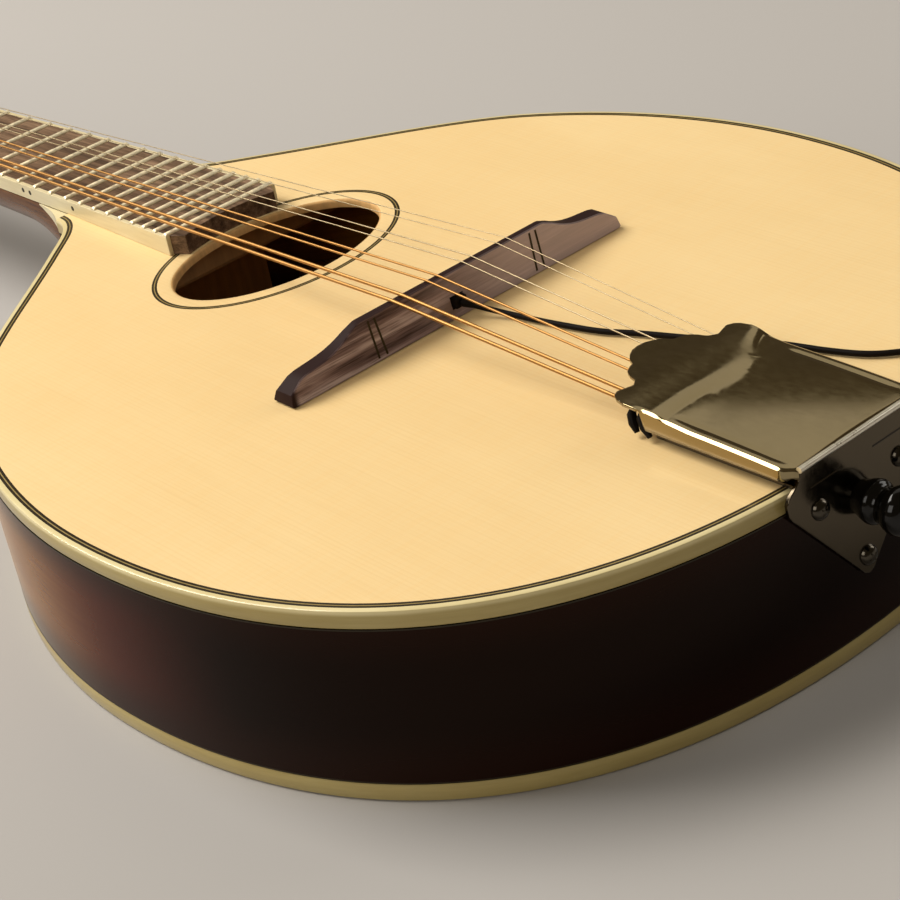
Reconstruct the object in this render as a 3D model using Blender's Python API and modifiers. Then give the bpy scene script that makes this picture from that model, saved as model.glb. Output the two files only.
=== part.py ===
"""A flat-top, oval-hole mandolin lying on its back, as separate pieces.

Sizes below are millimetres; everything is built in metres through MM.
+Y runs from the tail to the headstock, +X to the treble side, +Z up from the flat back.
Y = 0 is the theoretical saddle line and Z = 0 the underside of the back.
"""

import math

import bmesh
import bpy
from mathutils import Matrix, Vector
from mathutils.geometry import interpolate_bezier

MM = 0.001
GAP = 0.3                      # space left between touching pieces

# Scale and body
SCALE = 354.0                  # saddle line to nut
DEPTH = 53.5                   # back to soundboard face
TOP = DEPTH
PLATE = 2.7                    # soundboard and back thickness
SIDE = 2.0
BINDING = 2.2                  # width of the edge binding seen from above
BINDING_H = 5.0
LINING = 5.2
LINING_H = 11.0
JOINT_Y = SCALE * 2 ** (-14 / 12)
TAIL_Y = -149.7
HALF_WIDTH = 132.3
WIDEST_Y = -16.0
SHOULDER = (104.3, 76.8)
SHOULDER_DIR = (-0.563, 0.826)
NECK_FLARE = (40.5, 136.0)
NECK_FLARE_DIR = (-0.745, 0.667)
NECK_CORNER = 24.0
BLOCK_HALF = 30.0

# Sound hole and rosette
HOLE_Y = 72.0
HOLE_A = 34.7
HOLE_B = 22.9
ROSETTE_IN = 4.9               # from the hole's edge to the rosette
ROSETTE_W = 1.6
ROSETTE_DEEP = 0.8
INLAY_GAP = 0.1

# Fingerboard and neck
FRETS = 22
BOARD_TOP = 6.2                # board face above the soundboard at fret 22
BOARD_SLOPE = 0.0231
BOARD_THICK = 5.0
BOARD_HALF_12 = 18.9
BOARD_HALF_22 = 20.7
BOARD_BINDING = 1.5
FRET_R = 1.1
NUT_THICK = 4.4
SHAFT_DEEP_BODY = 16.5
SHAFT_DEEP_NUT = 13.5
HEEL_Z = 7.0
ROD_W = 5.0
ROD_H = 8.0

# Strings, bass to treble, in pairs
STRING_D = (1.02, 1.02, 0.66, 0.66, 0.38, 0.38, 0.28, 0.28)
BRIDGE_Y = -9.7
BRIDGE_STRING_Z = 13.3
BRIDGE_SPREAD = 38.0
BRIDGE_PAIR = 3.6
BRIDGE_HALF = 59.5
NUT_STRING_Z = 1.6
NUT_SPREAD = 22.8
NUT_PAIR = 2.0
HOOK_Y = -118.0
HOOK_Z = 4.2
HOOK_SPREAD = 30.0
HOOK_PAIR = 3.2

# Headstock and tuners, in the headstock's own frame: x across, u along, v out of the face
HEAD_Y = SCALE + NUT_THICK + 2 * GAP
HEAD_Z = TOP - 3.2
HEAD_TILT = 11.0
HEAD_THICK = 13.0
VENEER = 1.5
HEAD_OUTLINE = (
    (15.3, 0.0), (15.6, 5.0), (18.5, 11.0), (25.5, 17.0), (29.5, 24.0), (30.0, 32.0),
    (30.0, 60.0), (30.8, 84.0), (33.0, 104.0), (34.0, 112.0), (32.5, 119.0), (28.0, 124.0),
    (21.0, 127.0), (11.0, 129.5), (0.0, 130.5),
)
POST_U = (20.0, 43.0, 66.0, 89.0)
POST_X = 17.0
POST_R = 3.0
POST_HOLE = POST_R + 0.35
POST_HIGH = 12.0
GEAR_R = 5.4
GEAR_H = 4.0
WORM_R = 2.7
WORM_L = 8.0
SHAFT_R = 1.6
WORM_OFFSET = GEAR_R + WORM_R + 0.35
TUNER_PLATE = 1.2
BUTTON_X = 41.5
BUTTON = (9.0, 14.0, 6.0)

# Tailpiece
PLATE_Y = TAIL_Y - GAP
TAIL_PLATE = 1.2
TAIL_RISE = 5.5                # how far the tail plate stands above the soundboard
COVER_THICK = 1.0
COVER_SKIRT_Z = 3.8
COVER_FRONT_Y = -106.0
PIN_Z = TOP - 11.0
SCREWS = ((-13.9, TOP - 7.2), (13.9, TOP - 7.2), (0.0, TOP - 27.2))

# Pickup lead
LEAD_R = 0.8
LEAD_ROUTE = (
    (-0.6, -14.4, 4.4), (1.8, -19.2, 3.0), (3.7, -23.6, 2.0), (5.2, -28.2, 1.4),
    (6.6, -34.5, 1.1), (8.4, -44.0, 1.1), (11.0, -54.8, 1.1), (15.4, -65.0, 1.1),
    (20.3, -78.2, 1.1), (25.2, -89.6, 1.1), (29.6, -100.6, 1.1), (33.2, -114.0, 1.1),
    (37.0, -123.6, 1.1), (42.6, -130.4, 1.1), (48.6, -136.4, 1.3), (53.6, -142.0, 1.4),
    (57.0, -146.6, -0.8), (58.7, -149.3, -6.5), (59.2, -150.3, -13.2),
)
JACK_Z = TOP - 27.0

parts = bpy.data.collections.new("Mandolin")
cutters = bpy.data.collections.new("Cutters")


# ---------------------------------------------------------------- helpers


def clear_scene():
    for thing in list(bpy.data.objects):
        bpy.data.objects.remove(thing, do_unlink=True)
    bpy.context.scene.collection.children.link(parts)
    bpy.context.scene.collection.children.link(cutters)


def make_material(name, colour, roughness, metallic=0.0):
    material = bpy.data.materials.new(name)
    material.use_nodes = True
    shader = material.node_tree.nodes["Principled BSDF"]
    shader.inputs["Base Color"].default_value = (*colour, 1.0)
    shader.inputs["Roughness"].default_value = roughness
    shader.inputs["Metallic"].default_value = metallic
    material.diffuse_color = (*colour, 1.0)
    return material


def place(thing, material=None, parent=None):
    if material is None:
        cutters.objects.link(thing)
        thing.hide_render = True
        thing.display_type = "WIRE"
    else:
        parts.objects.link(thing)
        thing.data.materials.append(material)
    thing.parent = parent
    return thing


def from_bmesh(name, shape, material=None, parent=None):
    bmesh.ops.recalc_face_normals(shape, faces=shape.faces)
    mesh = bpy.data.meshes.new(name)
    shape.to_mesh(mesh)
    shape.free()
    return place(bpy.data.objects.new(name, mesh), material, parent)


def to_mesh(thing, material=None):
    """Turn a curve object into a welded mesh object of the same name and place."""
    if material is None and thing.data.materials:
        material = thing.data.materials[0]
    bpy.context.view_layer.update()
    graph = bpy.context.evaluated_depsgraph_get()
    mesh = bpy.data.meshes.new_from_object(thing.evaluated_get(graph))
    shape = bmesh.new()
    shape.from_mesh(mesh)
    bmesh.ops.remove_doubles(shape, verts=shape.verts, dist=0.001 * MM)
    bmesh.ops.recalc_face_normals(shape, faces=shape.faces)
    shape.to_mesh(mesh)
    shape.free()
    mesh.materials.clear()
    name = thing.name
    parent = thing.parent
    matrix = thing.matrix_world.copy()
    bpy.data.objects.remove(thing, do_unlink=True)
    solid = place(bpy.data.objects.new(name, mesh), material, parent)
    solid.matrix_world = matrix
    return solid


def flat_solid(name, loops, low, high, material=None, parent=None):
    """Extrude closed outlines (the first outside, the rest holes) between two heights."""
    curve = bpy.data.curves.new(name, "CURVE")
    curve.dimensions = "2D"
    curve.fill_mode = "BOTH"
    curve.render_resolution_u = 0
    curve.extrude = (high - low) / 2 * MM
    for loop in loops:
        spline = curve.splines.new("POLY")
        spline.points.add(len(loop) - 1)
        for point, (x, y) in zip(spline.points, loop):
            point.co = (x * MM, y * MM, 0.0, 1.0)
        spline.use_cyclic_u = True
    thing = place(bpy.data.objects.new(name, curve), material, parent)
    thing.location.z = (low + high) / 2 * MM
    return thing


def tube(name, points, radius, material, parent=None):
    curve = bpy.data.curves.new(name, "CURVE")
    curve.dimensions = "3D"
    curve.bevel_depth = radius * MM
    curve.bevel_resolution = 2
    curve.use_fill_caps = True
    curve.render_resolution_u = 0
    spline = curve.splines.new("POLY")
    spline.points.add(len(points) - 1)
    for point, spot in zip(spline.points, points):
        point.co = (*(Vector(spot) * MM), 1.0)
    return place(bpy.data.objects.new(name, curve), material, parent)


def turned(name, profile, steps=24, material=None, parent=None):
    """Spin an (r, z) profile, given down its outer side, round the local Z axis."""
    mesh = bpy.data.meshes.new(name)
    spots = [(r * MM, 0.0, z * MM) for r, z in profile]
    mesh.from_pydata(spots, [(i, i + 1) for i in range(len(spots) - 1)], [])
    thing = place(bpy.data.objects.new(name, mesh), material, parent)
    screw = thing.modifiers.new("Turn", "SCREW")
    screw.axis = "Z"
    screw.steps = steps
    screw.render_steps = steps
    screw.use_merge_vertices = True
    screw.merge_threshold = 0.00001
    screw.use_smooth_shade = True
    return thing


def box(name, size, centre, material=None, parent=None, bevel=0.0):
    shape = bmesh.new()
    bmesh.ops.create_cube(shape, size=1.0)
    bmesh.ops.scale(shape, vec=Vector(size) * MM, verts=shape.verts)
    thing = from_bmesh(name, shape, material, parent)
    thing.location = Vector(centre) * MM
    if bevel:
        add_bevel(thing, bevel)
    return thing


def add_bevel(thing, width, segments=2):
    bevel = thing.modifiers.new("Edges", "BEVEL")
    bevel.width = width * MM
    bevel.segments = segments
    bevel.limit_method = "ANGLE"
    bevel.angle_limit = math.radians(40)
    return bevel


def add_rod(shape, radius, length, matrix, segments=16):
    """Add a closed cylinder about the matrix's Z axis, centred on its origin."""
    made = bmesh.ops.create_cone(shape, cap_ends=True, segments=segments,
                                 radius1=radius * MM, radius2=radius * MM, depth=length * MM)
    bmesh.ops.transform(shape, matrix=matrix, verts=made["verts"])


def combine(thing, other, operation):
    step = thing.modifiers.new(operation.title(), "BOOLEAN")
    step.operation = operation
    step.solver = "EXACT"
    step.object = other


def cut(thing, other):
    combine(thing, other, "DIFFERENCE")


def join(thing, other):
    combine(thing, other, "UNION")


def loft(shape, rings):
    """Skin rings of equal count and cap both ends."""
    rows = [[shape.verts.new(Vector(spot) * MM) for spot in ring] for ring in rings]
    count = len(rows[0])
    for row, following in zip(rows, rows[1:]):
        for i in range(count):
            j = (i + 1) % count
            shape.faces.new((row[i], row[j], following[j], following[i]))
    shape.faces.new(rows[0])
    shape.faces.new(rows[-1])


def ellipse(a, b, y, count=48):
    angles = [2 * math.pi * i / count for i in range(count)]
    return [(a * math.cos(angle), y + b * math.sin(angle)) for angle in angles]


def circle(x, y, r, count=14):
    return [(x + px, y + py) for px, py in ellipse(r, r, 0.0, count)]


# ---------------------------------------------------------------- body outline


def half_outline():
    """The treble half of the outer outline, tail to neck, as points and outward normals."""
    bend = 0.64
    tail = Vector((0.0, TAIL_Y))
    widest = Vector((HALF_WIDTH, WIDEST_Y))
    shoulder = Vector(SHOULDER)
    flare = Vector(NECK_FLARE)
    corner = Vector((NECK_CORNER, JOINT_Y))
    shoulder_dir = Vector(SHOULDER_DIR)
    flare_dir = Vector(NECK_FLARE_DIR)
    pieces = (
        (tail, tail + Vector((bend * HALF_WIDTH, 0)),
         widest - Vector((0, bend * (WIDEST_Y - TAIL_Y))), widest, 26),
        (widest, widest + Vector((0, 34)), shoulder - shoulder_dir * 30, shoulder, 12),
        (shoulder, shoulder + shoulder_dir * 24, flare - flare_dir * 30, flare, 10),
        (flare, flare + flare_dir * 11, corner - Vector((0, 9)), corner, 6),
    )
    points = [tail]
    for start, handle_a, handle_b, end, count in pieces:
        points += interpolate_bezier(start, handle_a, handle_b, end, count + 1)[1:]
    normals = []
    for i, _ in enumerate(points):
        before = points[max(i - 1, 0)]
        after = points[min(i + 1, len(points) - 1)]
        along = (after - before).normalized()
        normals.append(Vector((along.y, -along.x)))
    normals[0] = Vector((0.0, -1.0))
    normals[-1] = Vector((1.0, 0.0))
    return points, normals


OUTLINE, NORMALS = half_outline()


def edge(offset, low_x=0.0, high_y=JOINT_Y):
    """The treble half outline moved inwards, from x = low_x at the tail to y = high_y."""
    line = [p - n * offset for p, n in zip(OUTLINE, NORMALS)]
    line = [(p.x, p.y) for p in line]
    if low_x > 0:
        line = [between_x(line, low_x)] + [p for p in line if p[0] > low_x or p[1] > 0]
    if high_y < JOINT_Y:
        line = [p for p in line if p[1] < high_y] + [between_y(line, high_y)]
    return line


def between_x(line, x):
    for (ax, ay), (bx, by) in zip(line, line[1:]):
        if ax <= x <= bx:
            return (x, ay + (by - ay) * (x - ax) / (bx - ax))
    return line[0]


def between_y(line, y):
    for (ax, ay), (bx, by) in zip(line, line[1:]):
        if ay <= y <= by and ay > TAIL_Y / 2:
            return (ax + (bx - ax) * (y - ay) / (by - ay), y)
    return line[-1]


def mirror(line):
    return [(-x, y) for x, y in line]


def closed(offset):
    """The whole outline, moved inwards, closed across the neck."""
    half = edge(offset)
    return half + mirror(half[1:])[::-1]


def strip(name, side, outer, inner, low, high, material, low_x=0.0, high_y=JOINT_Y):
    """A bent strip along one half of the outline; side is +1 treble, -1 bass."""
    loop = edge(outer, low_x, high_y) + edge(inner, low_x, high_y)[::-1]
    if side < 0:
        loop = mirror(loop)
    return flat_solid(name, [loop], low, high, material)


def ring(name, outer, inner, low, high, material):
    """A strip round the whole outline, open at the neck."""
    out = edge(outer)
    inn = edge(inner)
    loop = mirror(out)[::-1] + out[1:] + inn[::-1] + mirror(inn)[1:]
    return flat_solid(name, [loop], low, high, material)


def build_body():
    spruce = make_material("Spruce", (0.86, 0.60, 0.27), 0.25)
    walnut = make_material("SideWood", (0.12, 0.035, 0.015), 0.2)
    ivory = make_material("Ivory", (0.82, 0.76, 0.58), 0.35)
    pale = make_material("LiningWood", (0.66, 0.47, 0.27), 0.6)
    black = make_material("RosetteBlack", (0.03, 0.03, 0.03), 0.4)

    board = flat_solid("soundboard", [closed(BINDING + GAP), ellipse(HOLE_A, HOLE_B, HOLE_Y)],
                       TOP - PLATE, TOP, spruce)
    board = to_mesh(board)
    inner_a = HOLE_A + ROSETTE_IN
    inner_b = HOLE_B + ROSETTE_IN
    groove = flat_solid("rosette_groove",
                        [ellipse(inner_a + ROSETTE_W, inner_b + ROSETTE_W, HOLE_Y),
                         ellipse(inner_a, inner_b, HOLE_Y)],
                        TOP - ROSETTE_DEEP, TOP + 1.0)
    cut(board, to_mesh(groove))
    flat_solid("rosette",
               [ellipse(inner_a + ROSETTE_W - INLAY_GAP, inner_b + ROSETTE_W - INLAY_GAP, HOLE_Y),
                ellipse(inner_a + INLAY_GAP, inner_b + INLAY_GAP, HOLE_Y)],
               TOP - ROSETTE_DEEP + INLAY_GAP, TOP, black)

    flat_solid("back_plate", [closed(BINDING + GAP)], 0.0, PLATE, walnut)
    ring("binding_top", 0.0, BINDING, TOP - BINDING_H, TOP, ivory)
    ring("binding_back", 0.0, BINDING, 0.0, BINDING_H, ivory)

    pin_hole = tail_rods("pin_hole", [(0.0, PIN_Z)], 3.8, 30.0)
    screw_holes = tail_rods("screw_holes", SCREWS, 1.5, 22.0)
    for side, word in ((-1, "bass"), (1, "treble")):
        rib = strip(f"side_{word}", side, 0.0, SIDE, BINDING_H + GAP, TOP - BINDING_H - GAP,
                    walnut, low_x=GAP / 2)
        rib = to_mesh(rib)
        cut(rib, pin_hole)
        cut(rib, screw_holes)
        for level, low in (("top", TOP - PLATE - GAP - LINING_H), ("back", PLATE + GAP)):
            strip(f"lining_{level}_{word}", side, BINDING + GAP, BINDING + GAP + LINING,
                  low, low + LINING_H, pale, low_x=BLOCK_HALF + GAP, high_y=133.0)

    half = [p for p in edge(SIDE + GAP) if p[0] < BLOCK_HALF and p[1] < 0]
    half.append(between_x(edge(SIDE + GAP), BLOCK_HALF))
    loop = mirror(half)[::-1] + half[1:] + [(BLOCK_HALF, -130.0), (-BLOCK_HALF, -130.0)]
    block = flat_solid("tail_block", [loop], PLATE + GAP, TOP - PLATE - GAP, pale)
    block = to_mesh(block)
    cut(block, pin_hole)
    cut(block, screw_holes)

    height = TOP - 2 * (PLATE + GAP)
    block_low = 112.0
    box("neck_block", (40.0, JOINT_Y - GAP - block_low, height),
        (0.0, (JOINT_Y - GAP + block_low) / 2, TOP / 2), pale)
    brace = (("brace_soundhole", 58.0, 103.0, 8.0, 9.0, True),
             ("brace_bridge", 112.0, 22.0, 7.0, 10.0, True),
             ("brace_back", 110.0, -30.0, 12.0, 11.0, False))
    for name, half_length, y, width, tall, on_top in brace:
        z = TOP - PLATE - GAP - tall / 2 if on_top else PLATE + GAP + tall / 2
        box(name, (2 * half_length, width, tall), (0.0, y, z), pale, bevel=1.5)
    return pin_hole, screw_holes


def tail_rods(name, spots, radius, length):
    """Cutter rods along Y through the tail, at (x, z) spots."""
    shape = bmesh.new()
    for x, z in spots:
        turn = Matrix.Translation(Vector((x, TAIL_Y, z)) * MM) @ Matrix.Rotation(math.pi / 2, 4, "X")
        add_rod(shape, radius, length * 2, turn)
    return from_bmesh(name, shape)


# ---------------------------------------------------------------- neck


def board_face(y):
    return TOP + BOARD_TOP - BOARD_SLOPE * (y - fret_y(FRETS))


def neck_face(y):
    return board_face(y) - BOARD_THICK - GAP


def fret_y(number):
    return SCALE * 2 ** (-number / 12)


def board_half(y):
    span = fret_y(12) - fret_y(22)
    return BOARD_HALF_22 + (BOARD_HALF_12 - BOARD_HALF_22) * (y - fret_y(22)) / span


def neck_ring(y, width, face, deep, square, floor=-1e3):
    """A D-shaped section: flat face, rounded below; square is the superellipse power."""
    count = 22
    spots = []
    for i in range(count + 1):
        angle = math.pi * i / count
        across = math.copysign(abs(math.cos(angle)) ** (2 / square), math.cos(angle))
        down = math.sin(angle) ** (2 / square)
        spots.append((width * across, y, max(face - deep * down, floor)))
    return spots


def wedge(name, face, low_y, high_y, above):
    """A sloping slab cutter whose near face lies on the plane z = face(y)."""
    size = 60.0
    side = 1.0 if above else -1.0
    shape = bmesh.new()
    rings = []
    for y in (low_y, high_y):
        z = face(y)
        rings.append([(-size, y, z), (size, y, z), (size, y, z + side * size),
                      (-size, y, z + side * size)])
    loft(shape, rings)
    return from_bmesh(name, shape)


def build_neck():
    mahogany = make_material("NeckWood", (0.16, 0.065, 0.03), 0.25)
    ebony = make_material("Veneer", (0.03, 0.025, 0.022), 0.25)
    rosewood = make_material("Rosewood", (0.11, 0.055, 0.035), 0.5)
    ivory = make_material("BoardBinding", (0.82, 0.76, 0.58), 0.35)
    bone = make_material("Bone", (0.86, 0.82, 0.70), 0.4)
    steel = make_material("RodSteel", (0.45, 0.45, 0.46), 0.45, 1.0)

    start = JOINT_Y + GAP
    heel = ((0.0, 46.0), (3.0, 44.5), (7.0, 39.5), (12.0, 32.0), (18.0, 25.0), (25.0, 20.0),
            (34.0, 17.2), (48.0, SHAFT_DEEP_BODY))
    rings = []
    for along, deep in heel:
        y = start + along
        power = 2.0 + 0.5 * (deep - SHAFT_DEEP_BODY) / 30.0
        rings.append(neck_ring(y, board_half(y), neck_face(y), deep, power, HEEL_Z))
    last = SCALE - 12.0
    first = start + heel[-1][0]
    for i in range(1, 5):
        y = first + (last - first) * i / 4
        deep = SHAFT_DEEP_BODY + (SHAFT_DEEP_NUT - SHAFT_DEEP_BODY) * i / 4
        rings.append(neck_ring(y, board_half(y), neck_face(y), deep, 2.0))
    nut_face = neck_face(SCALE)
    rings.append(neck_ring(SCALE, 15.1, nut_face, 15.0, 2.3))
    rings.append(neck_ring(HEAD_Y, 15.2, nut_face, 17.5, 3.0))
    rings.append(neck_ring(HEAD_Y + 7.0, 14.8, nut_face - 4.5, 13.5, 3.5))
    shape = bmesh.new()
    loft(shape, rings)
    neck = from_bmesh("neck", shape, mahogany)
    neck.data.shade_smooth()
    neck.data.set_sharp_from_angle(angle=math.radians(40))

    frame = bpy.data.objects.new("headstock_frame", None)
    parts.objects.link(frame)
    frame.location = Vector((0.0, HEAD_Y, HEAD_Z)) * MM
    frame.rotation_euler.x = -math.radians(HEAD_TILT)
    head_loop = list(HEAD_OUTLINE) + mirror(HEAD_OUTLINE[:-1])[::-1]
    holes = [circle(side * POST_X, u, POST_HOLE) for side in (-1, 1) for u in POST_U]
    face = -VENEER - GAP
    slab = flat_solid("headstock_slab", [head_loop] + holes, face - HEAD_THICK, face, parent=frame)
    join(neck, to_mesh(slab))
    flat_solid("headstock_veneer", [head_loop] + holes, -VENEER, 0.0, ebony, frame)

    channel_low = start + 6.0
    rod_length = SCALE - 16.0 - channel_low
    middle = channel_low + rod_length / 2
    tilt = -math.atan(BOARD_SLOPE)
    channel = box("rod_channel", (ROD_W + 2 * GAP, rod_length + 2 * GAP, 2 * ROD_H + 4 * GAP),
                  (0.0, middle, neck_face(middle)))
    channel.rotation_euler.x = tilt
    cut(neck, channel)
    rod = box("truss_rod", (ROD_W, rod_length, ROD_H),
              (0.0, middle, neck_face(middle) - 1.5 * GAP - ROD_H / 2), steel)
    rod.rotation_euler.x = tilt

    cap = [(x, y) for x, y in ellipse(8.0, 5.5, start + 0.2, 32) if y >= start + 0.2 - 1e-6]
    flat_solid("heel_cap", [cap], HEEL_Z - GAP - 2.6, HEEL_Z - GAP, ebony)

    build_fingerboard(rosewood, ivory)
    low = nut_face + GAP
    high = TOP + NUT_STRING_Z - max(STRING_D) / 2 - 0.15
    box("nut", (2 * board_half(SCALE), NUT_THICK, high - low),
        (0.0, SCALE + GAP + NUT_THICK / 2, (low + high) / 2), bone, bevel=0.4)
    return frame


def board_end():
    """The end of the board follows the sound hole's edge, with its corners cut."""
    margin = 1.4
    a = HOLE_A + margin
    b = HOLE_B + margin
    reach = board_half(fret_y(22)) - BOARD_BINDING - GAP - 2.4
    count = 8
    arc = []
    for i in range(-count, count + 1):
        x = reach * i / count
        arc.append((x, HOLE_Y + b * math.sqrt(1 - (x / a) ** 2)))
    return arc


def build_fingerboard(rosewood, ivory):
    inset = BOARD_BINDING + GAP
    corner_y = 98.2
    sides = [(board_half(y) - inset, y) for y in (corner_y, SCALE)]
    loop = board_end() + sides + mirror(sides)[::-1]
    low = TOP - 10.0
    high = TOP + 12.0
    board = to_mesh(flat_solid("fingerboard", [loop], low, high, rosewood))

    face = wedge("board_face_cut", board_face, 60.0, 400.0, True)
    under = wedge("board_neck_cut", lambda y: neck_face(y) + GAP, JOINT_Y + GAP, 400.0, False)
    rest = wedge("board_body_cut", lambda y: TOP + GAP, 60.0, JOINT_Y + GAP, False)

    frets = bmesh.new()
    for number in range(1, FRETS + 1):
        y = fret_y(number)
        length = 2 * (board_half(y) - inset) - 0.6
        spot = Matrix.Translation(Vector((0.0, y, board_face(y) - 0.15)) * MM)
        add_rod(frets, FRET_R, length, spot @ Matrix.Rotation(math.pi / 2, 4, "Y"), 10)
    for cutter in (face, under, rest):
        cut(board, cutter)
    join(board, from_bmesh("fret_bars", frets))

    for side, word in ((-1, "bass"), (1, "treble")):
        outer = [(side * board_half(y), y) for y in (corner_y, SCALE)]
        inner = [(side * (board_half(y) - BOARD_BINDING), y) for y in (SCALE, corner_y)]
        trim = to_mesh(flat_solid(f"fingerboard_binding_{word}", [outer + inner], low, high, ivory))
        for cutter in (face, under, rest):
            cut(trim, cutter)


# ---------------------------------------------------------------- strings and bridge


def course_x(index, spread, pair):
    course, member = divmod(index, 2)
    return -spread / 2 + spread * course / 3 + (member - 0.5) * pair


def head_point(x, u, v):
    tilt = math.radians(HEAD_TILT)
    return (x, HEAD_Y + u * math.cos(tilt) + v * math.sin(tilt),
            HEAD_Z - u * math.sin(tilt) + v * math.cos(tilt))


def post_of(index):
    """Outer strings go to the nearest posts: G and E pairs first, then D and A."""
    side = -1 if index < 4 else 1
    order = index if index < 4 else 7 - index
    return side, order


def build_strings():
    bronze = make_material("WoundBronze", (0.62, 0.42, 0.18), 0.35, 1.0)
    plain = make_material("PlainSteel", (0.72, 0.72, 0.73), 0.25, 1.0)
    names = ("g1", "g2", "d1", "d2", "a1", "a2", "e1", "e2")
    for index, (word, thick) in enumerate(zip(names, STRING_D)):
        side, order = post_of(index)
        radius = thick / 2
        hook = course_x(index, HOOK_SPREAD, HOOK_PAIR)
        bridge = course_x(index, BRIDGE_SPREAD, BRIDGE_PAIR)
        nut = course_x(index, NUT_SPREAD, NUT_PAIR)
        post = side * (POST_X - POST_R - radius - GAP)
        points = [
            (hook, HOOK_Y + 1.2 + GAP, TOP + HOOK_Z),
            (bridge, BRIDGE_Y - 1.0, TOP + BRIDGE_STRING_Z - 0.05),
            (bridge, BRIDGE_Y + 1.0, TOP + BRIDGE_STRING_Z),
            (nut, SCALE + GAP, TOP + NUT_STRING_Z),
            (nut, SCALE + GAP + NUT_THICK, TOP + NUT_STRING_Z - 0.1),
            head_point(post, POST_U[order], 3.4 + 0.5 * radius),
        ]
        tube(f"string_{word}", points, radius, bronze if index < 4 else plain)


def build_bridge():
    rosewood = make_material("BridgeRosewood", (0.10, 0.05, 0.035), 0.5)
    rubber = make_material("PickupRubber", (0.015, 0.015, 0.015), 0.7)
    top = BRIDGE_STRING_Z - max(STRING_D) / 2 - 0.15
    tip = BRIDGE_HALF
    side = ((tip - 1.0, GAP), (tip, 1.2), (tip - 0.6, 3.6), (tip - 4.4, 6.3), (tip - 9.0, 7.2),
            (tip - 14.0, 7.8), (tip - 19.0, 9.2), (tip - 23.0, 11.2), (32.6, top))
    loop = list(side) + mirror(side)[::-1]
    slab = flat_solid("bridge", [loop], -5.0, 5.0, rosewood)
    slab.location = Vector((0.0, BRIDGE_Y + 0.4, TOP)) * MM
    slab.rotation_euler.x = math.pi / 2
    slab = to_mesh(slab)
    # Both faces lean in from the foot to a thin crest that carries the strings.
    for name, sign, lean in (("bridge_lean_front", 1, 17.0), ("bridge_lean_tail", -1, 9.0)):
        size = 40.0
        slope = math.radians(lean)
        edge_y = BRIDGE_Y + sign * 1.3
        cutter = box(name, (140.0, size, 2 * size), (0.0, 0.0, 0.0))
        middle = Vector((0.0, sign * size / 2, 0.0))
        middle.rotate(Matrix.Rotation(sign * slope, 3, "X"))
        cutter.location = (Vector((0.0, edge_y, TOP + top)) + middle) * MM
        cutter.rotation_euler.x = sign * slope
        cut(slab, cutter)
    notch = box("pickup_notch", (4.8, 6.0, 3.6), (-0.9, BRIDGE_Y - 4.0, TOP + 4.6))
    cut(slab, notch)
    box("bridge_pickup", (4.2, 3.0, 3.0), (-0.9, BRIDGE_Y - 2.5 - GAP, TOP + 4.6), rubber, bevel=0.4)


def smooth_route(points, count):
    """Read evenly spaced points from one smooth curve through the route's own points."""
    spots = [Vector(p) for p in points]
    fine = []
    for i in range(len(spots) - 1):
        before = spots[max(i - 1, 0)]
        after = spots[min(i + 2, len(spots) - 1)]
        start = spots[i]
        end = spots[i + 1]
        handle_a = start + (end - before) / 6
        handle_b = end - (after - start) / 6
        fine += interpolate_bezier(start, handle_a, handle_b, end, 9)[:-1]
    fine.append(spots[-1])
    lengths = [0.0]
    for a, b in zip(fine, fine[1:]):
        lengths.append(lengths[-1] + (b - a).length)
    result = []
    for k in range(count):
        goal = lengths[-1] * k / (count - 1)
        i = max(j for j, length in enumerate(lengths) if length <= goal + 1e-9)
        i = min(i, len(fine) - 2)
        part = (goal - lengths[i]) / (lengths[i + 1] - lengths[i])
        result.append(fine[i].lerp(fine[i + 1], part))
    return result


def build_pickup_lead():
    rubber = make_material("LeadRubber", (0.012, 0.012, 0.012), 0.5)
    nickel = make_material("JackNickel", (0.62, 0.61, 0.58), 0.25, 1.0)
    points = [(x, y, TOP + z) for x, y, z in LEAD_ROUTE]
    tube("pickup_lead", smooth_route(points, 44), LEAD_R, rubber)

    wall = between_x([(p.x, p.y) for p in OUTLINE], 59.0)
    index = min(range(len(OUTLINE)), key=lambda i: (OUTLINE[i] - Vector(wall)).length)
    normal = NORMALS[index]
    angle = math.atan2(normal.y, normal.x) + math.pi / 2
    centre = Vector(wall) + normal * 8.6
    shape = bmesh.new()
    barrel = Matrix.Rotation(math.pi / 2, 4, "Y")
    add_rod(shape, 6.5, 30.0, barrel, 20)
    jack = from_bmesh("jack", shape, nickel)
    pad = box("jack_pad", (18.0, 4.0, 16.0), (0.0, 0.0, 0.0))
    gland = turned("jack_gland", ((0.0, 13.5), (2.2, 13.5), (2.6, 12.9), (2.6, 4.0), (0.0, 4.0)), 16)
    for thing, off in ((pad, 6.0), (gland, 0.0)):
        spot = Vector((0.0, off, 0.0))
        spot.rotate(Matrix.Rotation(angle, 3, "Z"))
        thing.location = (Vector((centre.x, centre.y, JACK_Z)) + spot) * MM
        thing.rotation_euler.z = angle
        join(jack, thing)
    jack.location = Vector((centre.x, centre.y, JACK_Z)) * MM
    jack.rotation_euler.z = angle


# ---------------------------------------------------------------- tailpiece


def cover_front():
    """The treble half of the cover's front: centre lobe, notch, ear, and back to the side."""
    return [(0.0, -81.2), (3.6, -82.2), (6.4, -84.8), (8.6, -87.2), (11.0, -88.9), (12.2, -91.6),
            (14.9, -94.6), (17.6, -93.5), (20.2, -93.6), (21.9, -95.6), (22.4, -98.6),
            (21.8, -102.0), (20.4, -104.6), (20.2, COVER_FRONT_Y - 2.0)]


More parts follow.
